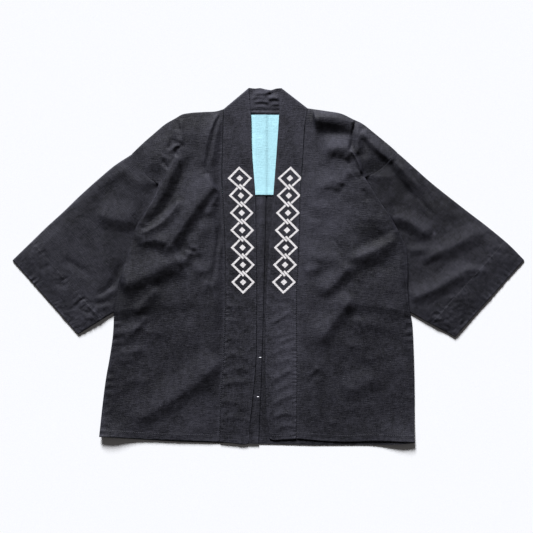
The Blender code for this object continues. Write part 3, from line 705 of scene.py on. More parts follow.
def creased(x, y, creases):
    """How far a table of creases moves each place of a sheet up or down."""
    lift = np.zeros_like(x)
    for row in creases:
        turn_x, turn_y = 2 * row.x1 - (row.x0 + row.x2) / 2, 2 * row.y1 - (row.y0 + row.y2) / 2
        t = np.linspace(0.0, 1.0, CREASE_STEPS + 1)
        line_x = (1 - t) ** 2 * row.x0 + 2 * t * (1 - t) * turn_x + t ** 2 * row.x2
        line_y = (1 - t) ** 2 * row.y0 + 2 * t * (1 - t) * turn_y + t ** 2 * row.y2
        reach = (CREST_REACH + CREST_ROUND) * max(row.left, row.right)
        near = ((x > line_x.min() - reach) & (x < line_x.max() + reach)
                & (y > line_y.min() - reach) & (y < line_y.max() + reach))
        here_x, here_y = x[near], y[near]
        best = np.full(here_x.shape, 1e9)
        side, along = np.ones_like(best), np.zeros_like(best)
        for k in range(CREASE_STEPS):
            run_x, run_y = line_x[k + 1] - line_x[k], line_y[k + 1] - line_y[k]
            off_x, off_y = here_x - line_x[k], here_y - line_y[k]
            share = np.clip((off_x * run_x + off_y * run_y) / (run_x ** 2 + run_y ** 2), 0.0, 1.0)
            gap = np.hypot(off_x - share * run_x, off_y - share * run_y)
            closer = gap < best
            best = np.where(closer, gap, best)
            side = np.where(closer, run_x * off_y - run_y * off_x, side)
            along = np.where(closer, (k + share) / CREASE_STEPS, along)
        width = np.where(side > 0, row.left, row.right)
        fall = np.sqrt((best / width) ** 2 + CREST_ROUND ** 2) - CREST_ROUND
        ends = softly(along / row.fade) * softly((1 - along) / row.fade)
        lift[near] += row.height * ends * np.clip(1 - fall / CREST_REACH, 0.0, 1.0) ** CREST_FALL
    return lift


def spotted(x, y, spots, base):
    """A base amount at each place, with a table of spots added to it."""
    total = np.full_like(x, base)
    for spot in spots:
        away = -((x - spot.x) / spot.reach_x) ** 2 - ((y - spot.y) / spot.reach_y) ** 2
        total += spot.amount * np.exp(away)
    return total


def lifted(x, y):
    """How far the corners of the coat stand off the surface at a place."""
    return spotted(x, y, LIFTS, 0.0)


def puckers(off, along, pucker, seed):
    """Short ripples across a line of stitches, off being the distance in from its edge."""
    pitch = pucker.pitch
    drift = (pitch * waves(along, along * 0, pitch * 2.4, seed)
             + 0.5 * off * waves(along, off, pitch * 3, seed + 2))
    strength = softly(0.45 + 0.9 * waves(along, off * 0 + 40, pitch * 3, seed + 1))
    ripple = np.sin(2 * math.pi * (along + drift) / pitch) + 0.5 * waves(along, off, pitch * 0.6, seed + 3)
    return pucker.height * strength * np.exp(-((off - pucker.line) / pucker.reach) ** 2) * ripple


def not_below(height, softness):
    """The height, bent so that it comes down to 0 softly and never passes it."""
    return np.logaddexp(0.0, height / softness) * softness


# ------------------------------------------------------------------ meshes
Grid = namedtuple("Grid", "points uv fade wall facing ring look")


def grid_of(points, uv, fade, wall=SINGLE_SHARE, facing=1, ring=False, look=None):
    """A sheet of points in millimetres.  facing is 1 where it faces up at look, and -1 down."""
    shape = points.shape[:2]
    return Grid(points, uv, np.broadcast_to(fade, shape), np.broadcast_to(wall, shape), facing, ring,
                look or (shape[0] // 2, shape[1] // 2))


def faces_of(grid, first):
    """The squares of a grid whose points are numbered from first, turned the way it faces."""
    rows, columns = grid.points.shape[:2]
    r, c = np.meshgrid(np.arange(rows - 1), np.arange(columns - (not grid.ring)), indexing="ij")
    after = (c + 1) % columns
    squares = np.stack((r * columns + c, (r + 1) * columns + c, (r + 1) * columns + after,
                        r * columns + after), axis=-1).reshape(-1, 4) + first
    row, column = grid.look
    here, below, beside = (grid.points[row, column], grid.points[row + 1, column],
                           grid.points[row, column + 1])
    if np.cross(below - here, beside - here)[2] * grid.facing < 0:
        squares = squares[:, ::-1]
    return squares


def cloth_piece(name, grids, wall):
    """One mesh from grids that are welded where they meet, with its wall grown inwards."""
    counts = [grid.points.shape[0] * grid.points.shape[1] for grid in grids]
    firsts = np.concatenate(([0], np.cumsum(counts)[:-1]))
    points = np.vstack([grid.points.reshape(-1, 3) for grid in grids]) * MM
    squares = np.vstack([faces_of(grid, first) for grid, first in zip(grids, firsts)])
    mesh = bpy.data.meshes.new(name)
    mesh.from_pydata(points.tolist(), [], squares.tolist())
    # fade is how pale the cotton is at each point: its fading and worn rims, with painted light and shade
    # from the tones, creases and seam grooves
    layers = {"cloth_u": [grid.uv[..., 0] * MM for grid in grids],
              "cloth_v": [grid.uv[..., 1] * MM for grid in grids],
              "fade": [grid.fade for grid in grids], "wall": [grid.wall for grid in grids]}
    for layer, parts in layers.items():
        values = np.concatenate([part.ravel() for part in parts])
        mesh.attributes.new(layer, "FLOAT", "POINT").data.foreach_set("value", values)
    weld(mesh)
    made = bpy.data.objects.new(name, mesh)
    bpy.context.scene.collection.objects.link(made)
    share = made.vertex_groups.new(name="wall")
    thick = np.zeros(len(mesh.vertices))
    mesh.attributes["wall"].data.foreach_get("value", thick)
    for wall_share in np.unique(np.round(thick, 2)):
        members = np.nonzero(np.round(thick, 2) == wall_share)[0]
        share.add(members.tolist(), float(wall_share), "REPLACE")
    shell = made.modifiers.new("wall", "SOLIDIFY")
    shell.thickness = wall * MM
    shell.offset = -1.0
    shell.vertex_group = share.name
    baked = finished_mesh(made)
    made.modifiers.clear()
    made.vertex_groups.clear()
    made.data = baked
    bpy.data.meshes.remove(mesh)
    baked.name = name
    lay_uv(baked)
    baked.shade_smooth()
    baked.set_sharp_from_angle(angle=math.radians(SHARP))
    return made


def finished_mesh(made):
    """A plain mesh of an object as its modifiers leave it."""
    view = bpy.context.evaluated_depsgraph_get()
    return bpy.data.meshes.new_from_object(made.evaluated_get(view), preserve_all_data_layers=True,
                                           depsgraph=view)


def weld(mesh):
    """Join the points that two grids share."""
    sheet = bmesh.new()
    sheet.from_mesh(mesh)
    bmesh.ops.remove_doubles(sheet, verts=sheet.verts, dist=WELD)
    sheet.to_mesh(mesh)
    sheet.free()


def lay_uv(mesh):
    """A UV map in metres of flat cloth, from the places kept on the points."""
    corners = np.zeros(len(mesh.loops), dtype=np.int32)
    mesh.loops.foreach_get("vertex_index", corners)
    places = np.zeros((len(mesh.loops), 2))
    for axis, layer in enumerate(("cloth_u", "cloth_v")):
        values = np.zeros(len(mesh.vertices))
        mesh.attributes[layer].data.foreach_get("value", values)
        places[:, axis] = values[corners]
    uv = mesh.uv_layers.new(name="cloth")
    uv.data.foreach_set("uv", places.ravel().astype(np.float32))
    for layer in ("cloth_u", "cloth_v", "wall"):
        mesh.attributes.remove(mesh.attributes[layer])


# ------------------------------------------------------------------ the pieces of cloth
def turned(place_x, place_y, degrees):
    """Places on the cloth, turned so that its long threads run along the second axis."""
    turn = math.radians(degrees)
    return np.stack((place_x * math.cos(turn) + place_y * math.sin(turn),
                     place_y * math.cos(turn) - place_x * math.sin(turn)), axis=-1)


def seam_wear_and_shade(off, **sides):
    """Paleness of the worn rims beside seams and turned edges, and painted shade in their grooves.

    Each side has the paleness of its rim and the darkness of the painted shade in its groove.
    """
    wear_and_shade = 0.0
    for side, (rim, groove) in sides.items():
        away = getattr(off, side)
        wear_and_shade = wear_and_shade + (rim * np.exp(-((away - RIM_AT) / RIM_REACH) ** 2)
                       - groove * np.exp(-(away / SHADED_GROOVE_REACH) ** 2))
    return wear_and_shade


def crease_wear_and_shade(relief):
    """How much paler the crests of creases are, and how much darker their troughs, as painted shade."""
    return CREASE_WEAR_AND_SHADE * np.clip(relief, -CREASE_TONE_CAP, CREASE_TONE_CAP)


def groove_shade_at(y):
    """How dark the painted shade in the groove beside the band is: less so lower down, where the stitches
    lie on the edge.
    """
    return 0.1 + 0.2 * rise(y, -20, 60)


def turned_step(off, depth, step=TURN_STEP, run=1.6):
    """How far turned cloth stands above single cloth, out to the depth of the turn."""
    return step * (1 - rise(off, depth, run))


def front(side):
    """A front: its grid of points, and the part of its top row that is the shoulder fold."""
    lines = {edge: line_of(stretches) for edge, stretches in side.front.items()}
    fold = reach_along(bend_through(side.front["top"][0]))[-1] / reach_along(lines["top"])[-1]
    seam = reach_along(line_of(side.front["end"][0]))[-1] / reach_along(lines["end"])[-1]
    across = graded(FRONT_WIDE, STEP_FRONT, through=fold)
    down = graded(FRONT_LONG, STEP_FRONT)
    points, off = coons(lines, across, down)
    x, y = points[..., 0], points[..., 1]
    low = carried(lines, across, down, off)
    along = np.broadcast_to(down[:, None] * FRONT_LONG, x.shape)
    sideways = np.broadcast_to(across[None, :] * FRONT_WIDE, x.shape)
    past_seam = down[:, None] - seam

    # the edge is rounded off all round, but not where the sleeve seam holds it down
    sewn = 1.0 - rise(past_seam, -0.004, 0.012)
    edge = (rounded(off.start, side.roll.start) * rounded(off.top, side.roll.top)
            * rounded(off.low, side.roll.low))
    edge = edge * (sewn + (1.0 - sewn) * rounded(off.end, side.roll.end))

    # the loft dies away towards the edges, the hem and the corner of the sleeve seam
    crisp = rise(y, 60, 60)
    loft = rise(off.start, 0, 26) * rise(off.end + 8 + 12 * crisp, 0, 30) * rise(off.top, -2, side.rim)
    loft = loft * (LOFT_LOW + (1.0 - LOFT_LOW) * rise(off.low, 30, 330))
    beside_seam = 1.0 - rise(past_seam, -0.03, 0.06)
    loft = loft * (1.0 - beside_seam * LOFT_SEWN * (1.0 - rise(off.end, 0, 40)))

    relief = creased(x, y, side.creases)
    dress = rise(off.start, 0, 9) * rise(off.low, -2, 8) * (relief + rumple(x, y, side.seed))
    dress += puckers(off.start, along, PUCKER_SEAM, side.seed + 20)
    dress += puckers(off.low, sideways, PUCKER_HEM, side.seed + 30)
    dress += rise(-y, 90, 30) * puckers(off.end, along, PUCKER_SIDE, side.seed + 40)
    dress += turned_step(off.low, HEM_TURN)
    stand = not_below(LOFT_FRONT * loft + dress + STAND_FRONT, SOFT_FRONT)
    points[..., 2] = low + edge * stand + lifted(x, y)

    # pale worn rims beside the band, the hem and the sleeve seam, and painted shade in their grooves
    wear_and_shade = seam_wear_and_shade(off, start=(0.14, groove_shade_at(y)), low=(0.14, 0.1), end=(0.12, 0.06))
    fade = spotted(x, y, side.tones, 0.0) + wear_and_shade + crease_wear_and_shade(relief)
    wall = np.where(off.low < HEM_TURN, HEM_SHARE, SINGLE_SHARE)
    grid = grid_of(points, turned(x, y, side.grain), fade, wall)
    return grid, across[across <= fold + 1e-9] / fold


def back(side, shoulder, shares):
    """A back: one grid under the neck and one under the shoulder, which it shares with the front."""
    way = math.copysign(1.0, shoulder[-1, 0])
    corner_at = tuple(shoulder[0, :2])
    hem_middle, hem_side = side.back["hem"]
    parting = line_of((corner_at, *((way * x, y) for x, y in PARTING), hem_middle[-1]))
    down = graded(FRONT_LONG, STEP_BACK)
    outer = {"top": shoulder, "start": parting, "end": line_of(side.back["side"]),
             "low": line_of(hem_side)}
    under, off = coons(outer, shares, down)
    under[..., 2] = FOLD_MID * (1 - rounded(off.top, FOLD_UNDER))
    under[0] = shoulder
    neck_line = np.vstack((line_of(side.back["neck"]), [(*corner_at, FOLD_MID)]))
    seam = line_of(CENTRE) - (0.0 if side.laps else SEAM_GAP, 0.0, 0.0)
    inner = {"top": neck_line, "start": seam, "end": parting, "low": line_of(hem_middle)}
    middle = coons(inner, graded(BACK_INNER, STEP_INNER, edges=(0.0, 2.6, 5.6)), down)[0]
    middle[..., 2] = 0.0
    middle[:, -1] = under[:, 0]
    if side.laps:
        middle = with_allowance(middle)
    made = []
    for points in (middle, under):
        x, y = points[..., 0], points[..., 1]
        settled = rise(np.minimum(340 - y, 378 + y), 0, 12) * (np.abs(x) < OPENING_HALF)
        points[..., 2] += lifted(x, y) + BACK_RUMPLE * settled * np.abs(waves(x, y, 23, SEED_BACK))
        # the back's tones: painted shadow strips, and pale marks on the cloth
        fade = spotted(x, y, TONES_BACK, 0.10)
        wall = np.where(y < -TOP + HEM_TURN, HEM_SHARE, SINGLE_SHARE)
        places = turned(x, 2 * NECK_SEAM - y, side.grain)
        made.append(grid_of(points, places, fade, wall, facing=-1))
    return made


def with_allowance(points):
    """The sheet with its centre-back allowance turned over its neighbour, before its first column."""
    seam = points[:, :1]
    flat = [(shift, ALLOWANCE_TOP) for shift in (-ALLOWANCE, -ALLOWANCE + 1.2, -17, -10, -4, -1.2)]
    turn = [(-0.3, ALLOWANCE_TOP + 0.1), (0.3, ALLOWANCE_TOP - 0.5), (0.6, ALLOWANCE_TOP - 1.3), (1.1, 0.0)]
    columns = [seam + (shift, 0.0, height) for shift, height in flat + turn]
    return np.concatenate(columns + [points[:, 1:]], axis=1)


def body_panel(name, side, wall):
    """A body panel: one length of cloth from the front hem over the shoulder to the back hem."""
    face, shares = front(side)
    shoulder = face.points[0, :len(shares)].copy()
    return cloth_piece(name, [face, *back(side, shoulder, shares)], wall)


def sleeve(name, side, wall):
    """A sleeve: a flattened tube from the armhole to the cuff, partly under the front."""
    lines = {edge: line_of(marks) for edge, marks in side.sleeve.items()}
    seed = side.sleeve_seed
    wide = reach_along(lines["end"])[-1]
    across = graded(reach_along(lines["top"])[-1], STEP_SLEEVE)
    down = graded(wide * SLEEVE_WIDER, STEP_SLEEVE)
    points, off = coons(lines, across, down)
    x, y = points[..., 0], points[..., 1]

    # how far outside the front's edge each place lies, and where the seam leaves that edge
    way = math.copysign(1.0, x.mean())
    over = side.front["end"][:2]
    front_edge = line_of(over)[::-1]
    outside = EDGE_SLOPE * (way * x - way * np.interp(y, front_edge[:, 1], front_edge[:, 0]))
    out = np.clip(outside, 0.0, 60.0)
    beside = softly((y - over[0][-1].y + 8 + 0.5 * out) / (12 + out))
    clear = (1 - beside) * rise(outside, -0.5, 4.0) + beside * rise(outside, -2.2, 2.4)
    seamed = beside * (1.0 - rise(outside, 0, 50))

    edge = (rounded(off.top, ROLL_SLEEVE.top) * rounded(off.low, ROLL_SLEEVE.low)
            * (0.45 + 0.55 * rounded(off.end, ROLL_SLEEVE.end)))
    loft = rise(off.top, -4, 30) * rise(off.low, -4, 26) * rise(off.end, -12, 50) * rise(outside, -2, 45)
    along = np.broadcast_to(down[:, None] * wide, x.shape)
    relief = creased(x, y, side.sleeve_creases) + beside * creased(x, y, side.creases)
    small = (1 - seamed) * 0.8 * rumple(x, y, seed) + seamed * rumple(x, y, side.seed)
    dress = relief * rise(off.end, -4, 14) + small + 2.5 * beside
    dress += puckers(off.end, along, PUCKER_CUFF, seed + 20)
    dress += puckers(off.end, along, PUCKER_CUFF_EDGE, seed + 30)
    crumple = 1.2 * np.abs(waves(x, y, 15, seed + 60)) + 0.5 * waves(x, y, 8, seed + 61)
    dress += crumple * (1 - rise(off.end, CUFF_TURN, 24)) * (0.35 + 0.65 * rise(-y, 20, 90))
    dress += turned_step(off.end, CUFF_TURN)
    lift = not_below(STAND_SLEEVE + LOFT_SLEEVE * loft + clear * dress, SOFT_SLEEVE)
    thin = CUFF_THIN + (1.0 - CUFF_THIN) * rise(off.end, 0, 70)
    face = points.copy()
    face[..., 2] = thin * (SLEEVE_MID + edge * lift) + lifted(x, y)

    # the underside lies flat, so that away from its edges it needs fewer rows
    last = len(down) - 1
    near = UNDER_EVERY - 1
    rows_under = np.r_[1:UNDER_EVERY, UNDER_EVERY:last - near:UNDER_EVERY, last - near:last][::-1]
    under = points[rows_under].copy()
    under_off = np.minimum(off.top, off.low)[rows_under]
    under[..., 2] = SLEEVE_MID * (1 - rounded(under_off, SLEEVE_MID)) * thin[rows_under]
    under[..., 2] += lifted(under[..., 0], under[..., 1])
    ring = np.concatenate((face, under)).transpose(1, 0, 2)

    # a pale worn rim at the cuff and along the top fold, and a line of painted shade along the cuff's edge
    wear_and_shade = seam_wear_and_shade(off, end=(0.22, 0.25), top=(0.08, 0.0))
    fade = spotted(x, y, side.tones, 0.0) + wear_and_shade + crease_wear_and_shade(relief)
    share = np.where(off.end < CUFF_TURN, 1.0, SINGLE_SHARE)
    fade, share = (np.concatenate((values, values[rows_under])).transpose(1, 0) for values in (fade, share))
    places = turned(ring[..., 0], ring[..., 1], side.sleeve_grain)
    look = (ring.shape[0] // 2, face.shape[0] // 2)
    return cloth_piece(name, [grid_of(ring, places, fade, share, ring=True, look=look)], wall)


def lapel(edges, across, height, seed):
    """One front stretch of the collar band, from its neck fold down to the hem."""
    lines = {"start": line_of(edges["free"]), "end": line_of(edges["sewn"]), "low": line_of(edges["hem"]),
             "top": line_of((edges["free"][0], edges["sewn"][0]))}
    down = graded(BAND_LONG, STEP_BAND)
    points, off = coons(lines, across, down)
    x, y = points[..., 0], points[..., 1]
    along = np.broadcast_to(down[:, None] * BAND_LONG, x.shape)
    ends = rounded(off.top, ROLL_BAND.top)
    dress = creased(x, y, CREASES_BAND) + 0.4 * rumple(x, y, seed)
    ripple = rise(-y, 30, 60) + 0.35
    dress += ripple * puckers(off.end, along, PUCKER_BAND, seed + 20)
    dress += puckers(off.start, along, PUCKER_FOLD, seed + 30)
    dress += turned_step(off.low, HEM_TURN)
    edge = (rounded(off.start, ROLL_BAND.start) * rounded(off.end, ROLL_BAND.end)
            * rounded(off.low, ROLL_BAND.low))
    height = height - HEM_PRESSED * (1.0 - rise(off.low, 0, 60))
    top = height - STAND_BAND - BAND_MID + edge * not_below(STAND_BAND + dress, SOFT_BAND)
    points[..., 2] = BAND_MID + ends * top + lifted(x, y)
    points[0, :, 2] = BAND_MID
    centre = (at(lines["start"], down)[:, None, 0] + at(lines["end"], down)[:, None, 0]) / 2
    places = np.stack((x - centre, y), axis=-1)
    # pale worn rims along the folded edge, the sewn edge and the hem, and painted shade in their grooves
    wear_and_shade = seam_wear_and_shade(off, start=(0.14, 0.1), end=(0.12, groove_shade_at(y)), low=(0.12, 0.1))
    return grid_of(points, places, spotted(x, y, TONES_BAND, wear_and_shade + 0.04 * ends), wall=1.0)


def neck_stretch(right, left, across, seed):
    """The stretch of the band behind the neck, seen from its inside, between the two neck folds."""
    lines = {"top": line_of(NECK["free"]), "low": line_of(NECK["sewn"]),
             "start": right.points[0], "end": left.points[0]}
    points, off = coons(lines, graded(NECK_LONG, STEP_BAND), across)
    x, y = points[..., 0], points[..., 1]
    crumple = creased(x, y, CREASES_NECK) + 1.1 * rumple(x, y, seed)
    inside = rise(off.start, 14, 18) * rise(off.end, 14, 18)
    edge = rise(off.top, -1, 4) * rise(off.low, -1, 5)
    points[..., 2] = inside * edge * not_below(crumple + STAND_NECK, SOFT_BAND)
    points[..., 2] += BAND_MID * (1 - rounded(np.minimum(off.start, off.end), 2.6))
    points[:, 0], points[:, -1] = right.points[0], left.points[0]
    places = np.stack((np.broadcast_to(across[:, None] * NECK_WIDE, x.shape), x + NECK_PLACE), axis=-1)
    return grid_of(points, places, spotted(x, y, TONES_BAND, 0.02), wall=1.0, facing=-1)


def collar_band(name, wall):
    """The collar band: one long doubled strip up one front, behind the neck and down the other."""
    across = graded(BAND_WIDE, STEP_BAND)
    right = lapel(LAPEL_RIGHT, across, BAND_TOP_RIGHT, SEED_BAND)
    left = lapel(LAPEL_LEFT, across, BAND_TOP_LEFT, SEED_BAND + 50)
    neck = neck_stretch(right, left, across, SEED_BAND + 90)
    return cloth_piece(name, [right, left, neck], wall)


def neck_patch(name, wall):
    """The patch of light blue cotton inside the back neck, which lies over the centre-back allowance."""
    tall = PATCH_TOP - PATCH_LOW
    down = graded(tall, STEP_PATCH, edges=(0.0, 0.4, 1.1, 2.2))
    across = graded(2 * PATCH_HALF, STEP_PATCH, edges=(0.0, 0.6, 2.0))
    seam = line_of(CENTRE)
    heights = PATCH_TOP - down * tall
    centre = np.interp(-heights, -seam[:, 1], seam[:, 0])
    x = centre[:, None] + (across[None, :] - 0.5) * 2 * PATCH_HALF
    y = np.broadcast_to(heights[:, None], x.shape)
    from_seam = x - centre[:, None]
    over = rise(from_seam + ALLOWANCE + 4, 0, 4) * rise(-from_seam, -4, 4)
    off_low = down[::-1][:, None] * tall
    soft = 0.5 * np.abs(rumple(x, y, SEED_PATCH)) * rise(off_low, 0, 10) * 0.8
    top = PATCH_ON_BACK + PATCH_OVER * over + soft + turned_step(off_low, PATCH_TURN, 0.4, 1.2)
    points = np.stack((x, y, top), axis=-1)
    fade = 0.1 * np.exp(-off_low / 1.5) + np.zeros_like(x)
    return cloth_piece(name, [grid_of(points, np.stack((x, y), axis=-1), fade)], wall)


# ------------------------------------------------------------------ finishes
def node(tree, kind, inputs=None, **settings):
    """A node in a tree, with its settings and with each named or numbered input linked or set."""
    made = tree.nodes.new(kind)
    for name, value in settings.items():
        setattr(made, name, value)
    for name, value in (inputs or {}).items():
        value = getattr(value, "socket", value)
        if isinstance(value, bpy.types.NodeSocket):
            tree.links.new(value, made.inputs[name])
        else:
            made.inputs[name].default_value = value
    return made


class Value:
    """A value in a shader: arithmetic and comparisons with it add Math nodes to its tree."""

    def __init__(self, tree, socket):
        self.tree = tree
        self.socket = socket

    def calc(self, operation, *others, clamp=False):
        """The result of a Math node on this value and others."""
        made = node(self.tree, "ShaderNodeMath", dict(enumerate((self, *others))), operation=operation,
                    use_clamp=clamp)
        return Value(self.tree, made.outputs[0])

    def ramp(self, low, high, to_low=0.0, to_high=1.0):
        """The value mapped smoothly from one range to another."""
        made = node(self.tree, "ShaderNodeMapRange", {
            "Value": self, "From Min": low, "From Max": high, "To Min": to_low, "To Max": to_high},
            interpolation_type="SMOOTHSTEP")
        return Value(self.tree, made.outputs["Result"])

    def inverse(self):
        """1 less the value."""
        return self.calc("MULTIPLY_ADD", -1.0, 1.0)

    __add__ = partialmethod(calc, "ADD")
    __sub__ = partialmethod(calc, "SUBTRACT")
    __mul__ = partialmethod(calc, "MULTIPLY")
    __truediv__ = partialmethod(calc, "DIVIDE")
    __lt__ = partialmethod(calc, "LESS_THAN")
    __gt__ = partialmethod(calc, "GREATER_THAN")
    __abs__ = partialmethod(calc, "ABSOLUTE")


def parts_of(tree, place):
    """The first two coordinates of a place."""
    parts = node(tree, "ShaderNodeSeparateXYZ", {"Vector": place})
    return Value(tree, parts.outputs["X"]), Value(tree, parts.outputs["Y"])


def noise_of(tree, place, noise):
    """Noise from a row that gives how wide and tall its marks are."""
    scaled = node(tree, "ShaderNodeMapping", {
        "Vector": place, "Location": (noise.shift, noise.shift * 0.7, 0.0),
        "Scale": (1 / noise.wide, 1 / noise.tall, 1.0)})
    made = node(tree, "ShaderNodeTexNoise", {
        "Vector": scaled.outputs[0], "Scale": 1.0, "Detail": noise.detail, "Roughness": noise.roughness})
    return Value(tree, made.outputs["Fac"])


def mixed(tree, share, under, over, **settings):
    """The mix of two colours, each a socket or a constant."""
    made = node(tree, "ShaderNodeMix", {0: share, 6: under, 7: over}, data_type="RGBA", **settings)
    return made.outputs[2]


def group(name, inputs, outputs):
    """A shader node group with named sockets: (name, socket kind, default) each."""
    made = bpy.data.node_groups.new(name, "ShaderNodeTree")
    for socket, kind, default in inputs:
        made.interface.new_socket(socket, in_out="INPUT", socket_type=kind).default_value = default
    for socket, kind in outputs:
        made.interface.new_socket(socket, in_out="OUTPUT", socket_type=kind)
    given, result = made.nodes.new("NodeGroupInput"), made.nodes.new("NodeGroupOutput")
    values = {socket: Value(made, given.outputs[socket]) for socket, kind, default in inputs}
    return made, values, result


def slubby_cotton():
    """Plain-woven cotton of uneven thread that fades and pills: its colour, roughness and normal."""
    tree, given, result = group(
        "slubby cotton",
        [("Place", PLACE, (0, 0, 0)), ("Fade", NUMBER, 0.0), ("Deep", COLOUR, (0.02, 0.02, 0.02, 1)),
         ("Pale", COLOUR, (0.1, 0.1, 0.1, 1)), ("Slub", NUMBER, 0.16), ("Mottle", NUMBER, 0.3),
         ("Lint", NUMBER, 0.3), ("Relief", NUMBER, 1.0)],
        [("Colour", COLOUR), ("Roughness", NUMBER), ("Normal", PLACE)])
    place = given["Place"]
    noises = {name: noise_of(tree, place, noise) for name, noise in COTTON_NOISES.items()}
    slubs = (noises["long slubs"].ramp(0.30, 0.74, -0.5, 0.5)
             + noises["cross slubs"].ramp(0.30, 0.74, -0.5, 0.5))
    marks = [noises[name].ramp(0.5 - half, 0.5 + half, -amount, amount) for name, half, amount in MOTTLES]
    mottle = sum(marks[1:], marks[0])
    uneven = slubs * given["Slub"] + mottle * given["Mottle"]
    # Fade brings the painted light and shade along with the fading
    faded = given["Fade"].calc("ADD", uneven, clamp=True)
    fluff = noises["specks"].ramp(0.78, 0.88) * given["Lint"]
    cloth = mixed(tree, faded, given["Deep"], given["Pale"])
    tree.links.new(mixed(tree, fluff, cloth, LINT_COLOUR), result.inputs["Colour"])
    tree.links.new((faded * 0.12 + 0.58).socket, result.inputs["Roughness"])
    across, along = parts_of(tree, place)
    thread = 2 * math.pi / THREAD_PITCH
    weave = (across * thread).calc("SINE") * (along * (thread * 0.94)).calc("SINE")
    relief = weave * 0.25 + (slubs * 0.7 + noises["grains"] * 1.6)
    bump = node(tree, "ShaderNodeBump", {"Strength": given["Relief"], "Distance": 0.00035,
                                         "Height": relief})
    tree.links.new(bump.outputs[0], result.inputs["Normal"])
    return tree


def linked_lozenges():
    """A column of linked lozenges, woven over and under each other, each with a small one at its heart."""
    tree, given, result = group(
        "linked lozenges",
        [("Place", PLACE, (0, 0, 0)), ("Highest", NUMBER, 0.19), ("Pitch", NUMBER, 0.0372),
         ("Reach", NUMBER, 0.0253), ("Stroke", NUMBER, 0.006), ("Heart", NUMBER, 0.0068),
         ("Gap", NUMBER, 0.0015), ("Links", NUMBER, 7.0)],
        [("Mask", NUMBER)])
    x, y = parts_of(tree, given["Place"])
    reach, gap = given["Reach"], given["Gap"]
    inner = reach - given["Stroke"]
    across = abs(x)
    down = (given["Highest"] - y) / given["Pitch"]

    def lozenge(number):
        """The ring, the heart and the ring with a gap beside it, of the lozenge with that number."""
        size = across + abs(down - number) * given["Pitch"]
        real = (number > -0.5) * (number < given["Links"] - 0.5)
        ring = (size > inner) * (size < reach)
        heart = size < given["Heart"]
        near = (size > inner - gap) * (size < reach + gap)
        return [part * real for part in (ring, heart, near)]

    upper = down.calc("FLOOR")
    upper_ring, upper_heart, upper_near = lozenge(upper)
    lower_ring, lower_heart, lower_near = lozenge(upper + 1.0)
    left = x < 0.0
    mask = upper_ring * (left.inverse() * lower_near).inverse()
    for part in (lower_ring * (left * upper_near).inverse(), upper_heart, lower_heart):
        mask = mask.calc("MAXIMUM", part)
    tree.links.new(mask.socket, result.inputs["Mask"])
    return tree


def cotton(name, groups, deep, pale, base_fade, ink=None, **threads):
    """A material of slubby cotton; ink is the colour of its lozenges, where it has them."""
    made = bpy.data.materials.new(name)
    made.use_nodes = True
    tree = made.node_tree
    tree.nodes.clear()
    place = node(tree, "ShaderNodeUVMap", uv_map="cloth").outputs[0]
    # the fade attribute holds the fading together with painted light and shade
    fade = node(tree, "ShaderNodeAttribute", attribute_name="fade", attribute_type="GEOMETRY")
    cloth = node(tree, "ShaderNodeGroup", {
        "Place": place, "Fade": Value(tree, fade.outputs["Fac"]) + base_fade, "Deep": deep, "Pale": pale,
        **{thread.title(): value for thread, value in threads.items()}}, node_tree=groups["cotton"])
    colour = cloth.outputs["Colour"]
    if ink:
        shifted = node(tree, "ShaderNodeMapping", {"Vector": place, "Location": INK_SHIFT})
        chain = node(tree, "ShaderNodeGroup", {"Place": shifted.outputs[0], "Highest": INK_HIGHEST},
                     node_tree=groups["lozenges"])
        rubbed = noise_of(tree, place, RUBBED_NOISE).ramp(0.24, 0.42, 0.72, 0.97)
        colour = mixed(tree, Value(tree, chain.outputs["Mask"]) * rubbed, colour, ink)
    shader = node(tree, "ShaderNodeBsdfPrincipled", {
        "Base Color": colour, "Roughness": cloth.outputs["Roughness"], "Normal": cloth.outputs["Normal"],
        "Specular IOR Level": 0.22})
    node(tree, "ShaderNodeOutputMaterial", {"Surface": shader.outputs[0]})
    return made


def plain_finish(name, colour, roughness):
    """A material for the floor or the thread: one colour with a faint unevenness."""
    made = bpy.data.materials.new(name)
    made.use_nodes = True
    tree = made.node_tree
    shader = tree.nodes["Principled BSDF"]
    place = node(tree, "ShaderNodeTexCoord").outputs["Object"]
    cloud = node(tree, "ShaderNodeTexNoise", {"Vector": place, "Scale": 900.0, "Detail": 1.0})
    shade = Value(tree, cloud.outputs["Fac"]).ramp(0.2, 0.8, 0.9, 1.0)
    tint = mixed(tree, 1.0, (*colour, 1.0), shade, blend_type="MULTIPLY")
    tree.links.new(tint, shader.inputs["Base Color"])
    shader.inputs["Roughness"].default_value = roughness
    shader.inputs["Specular IOR Level"].default_value = 0.2
    return made


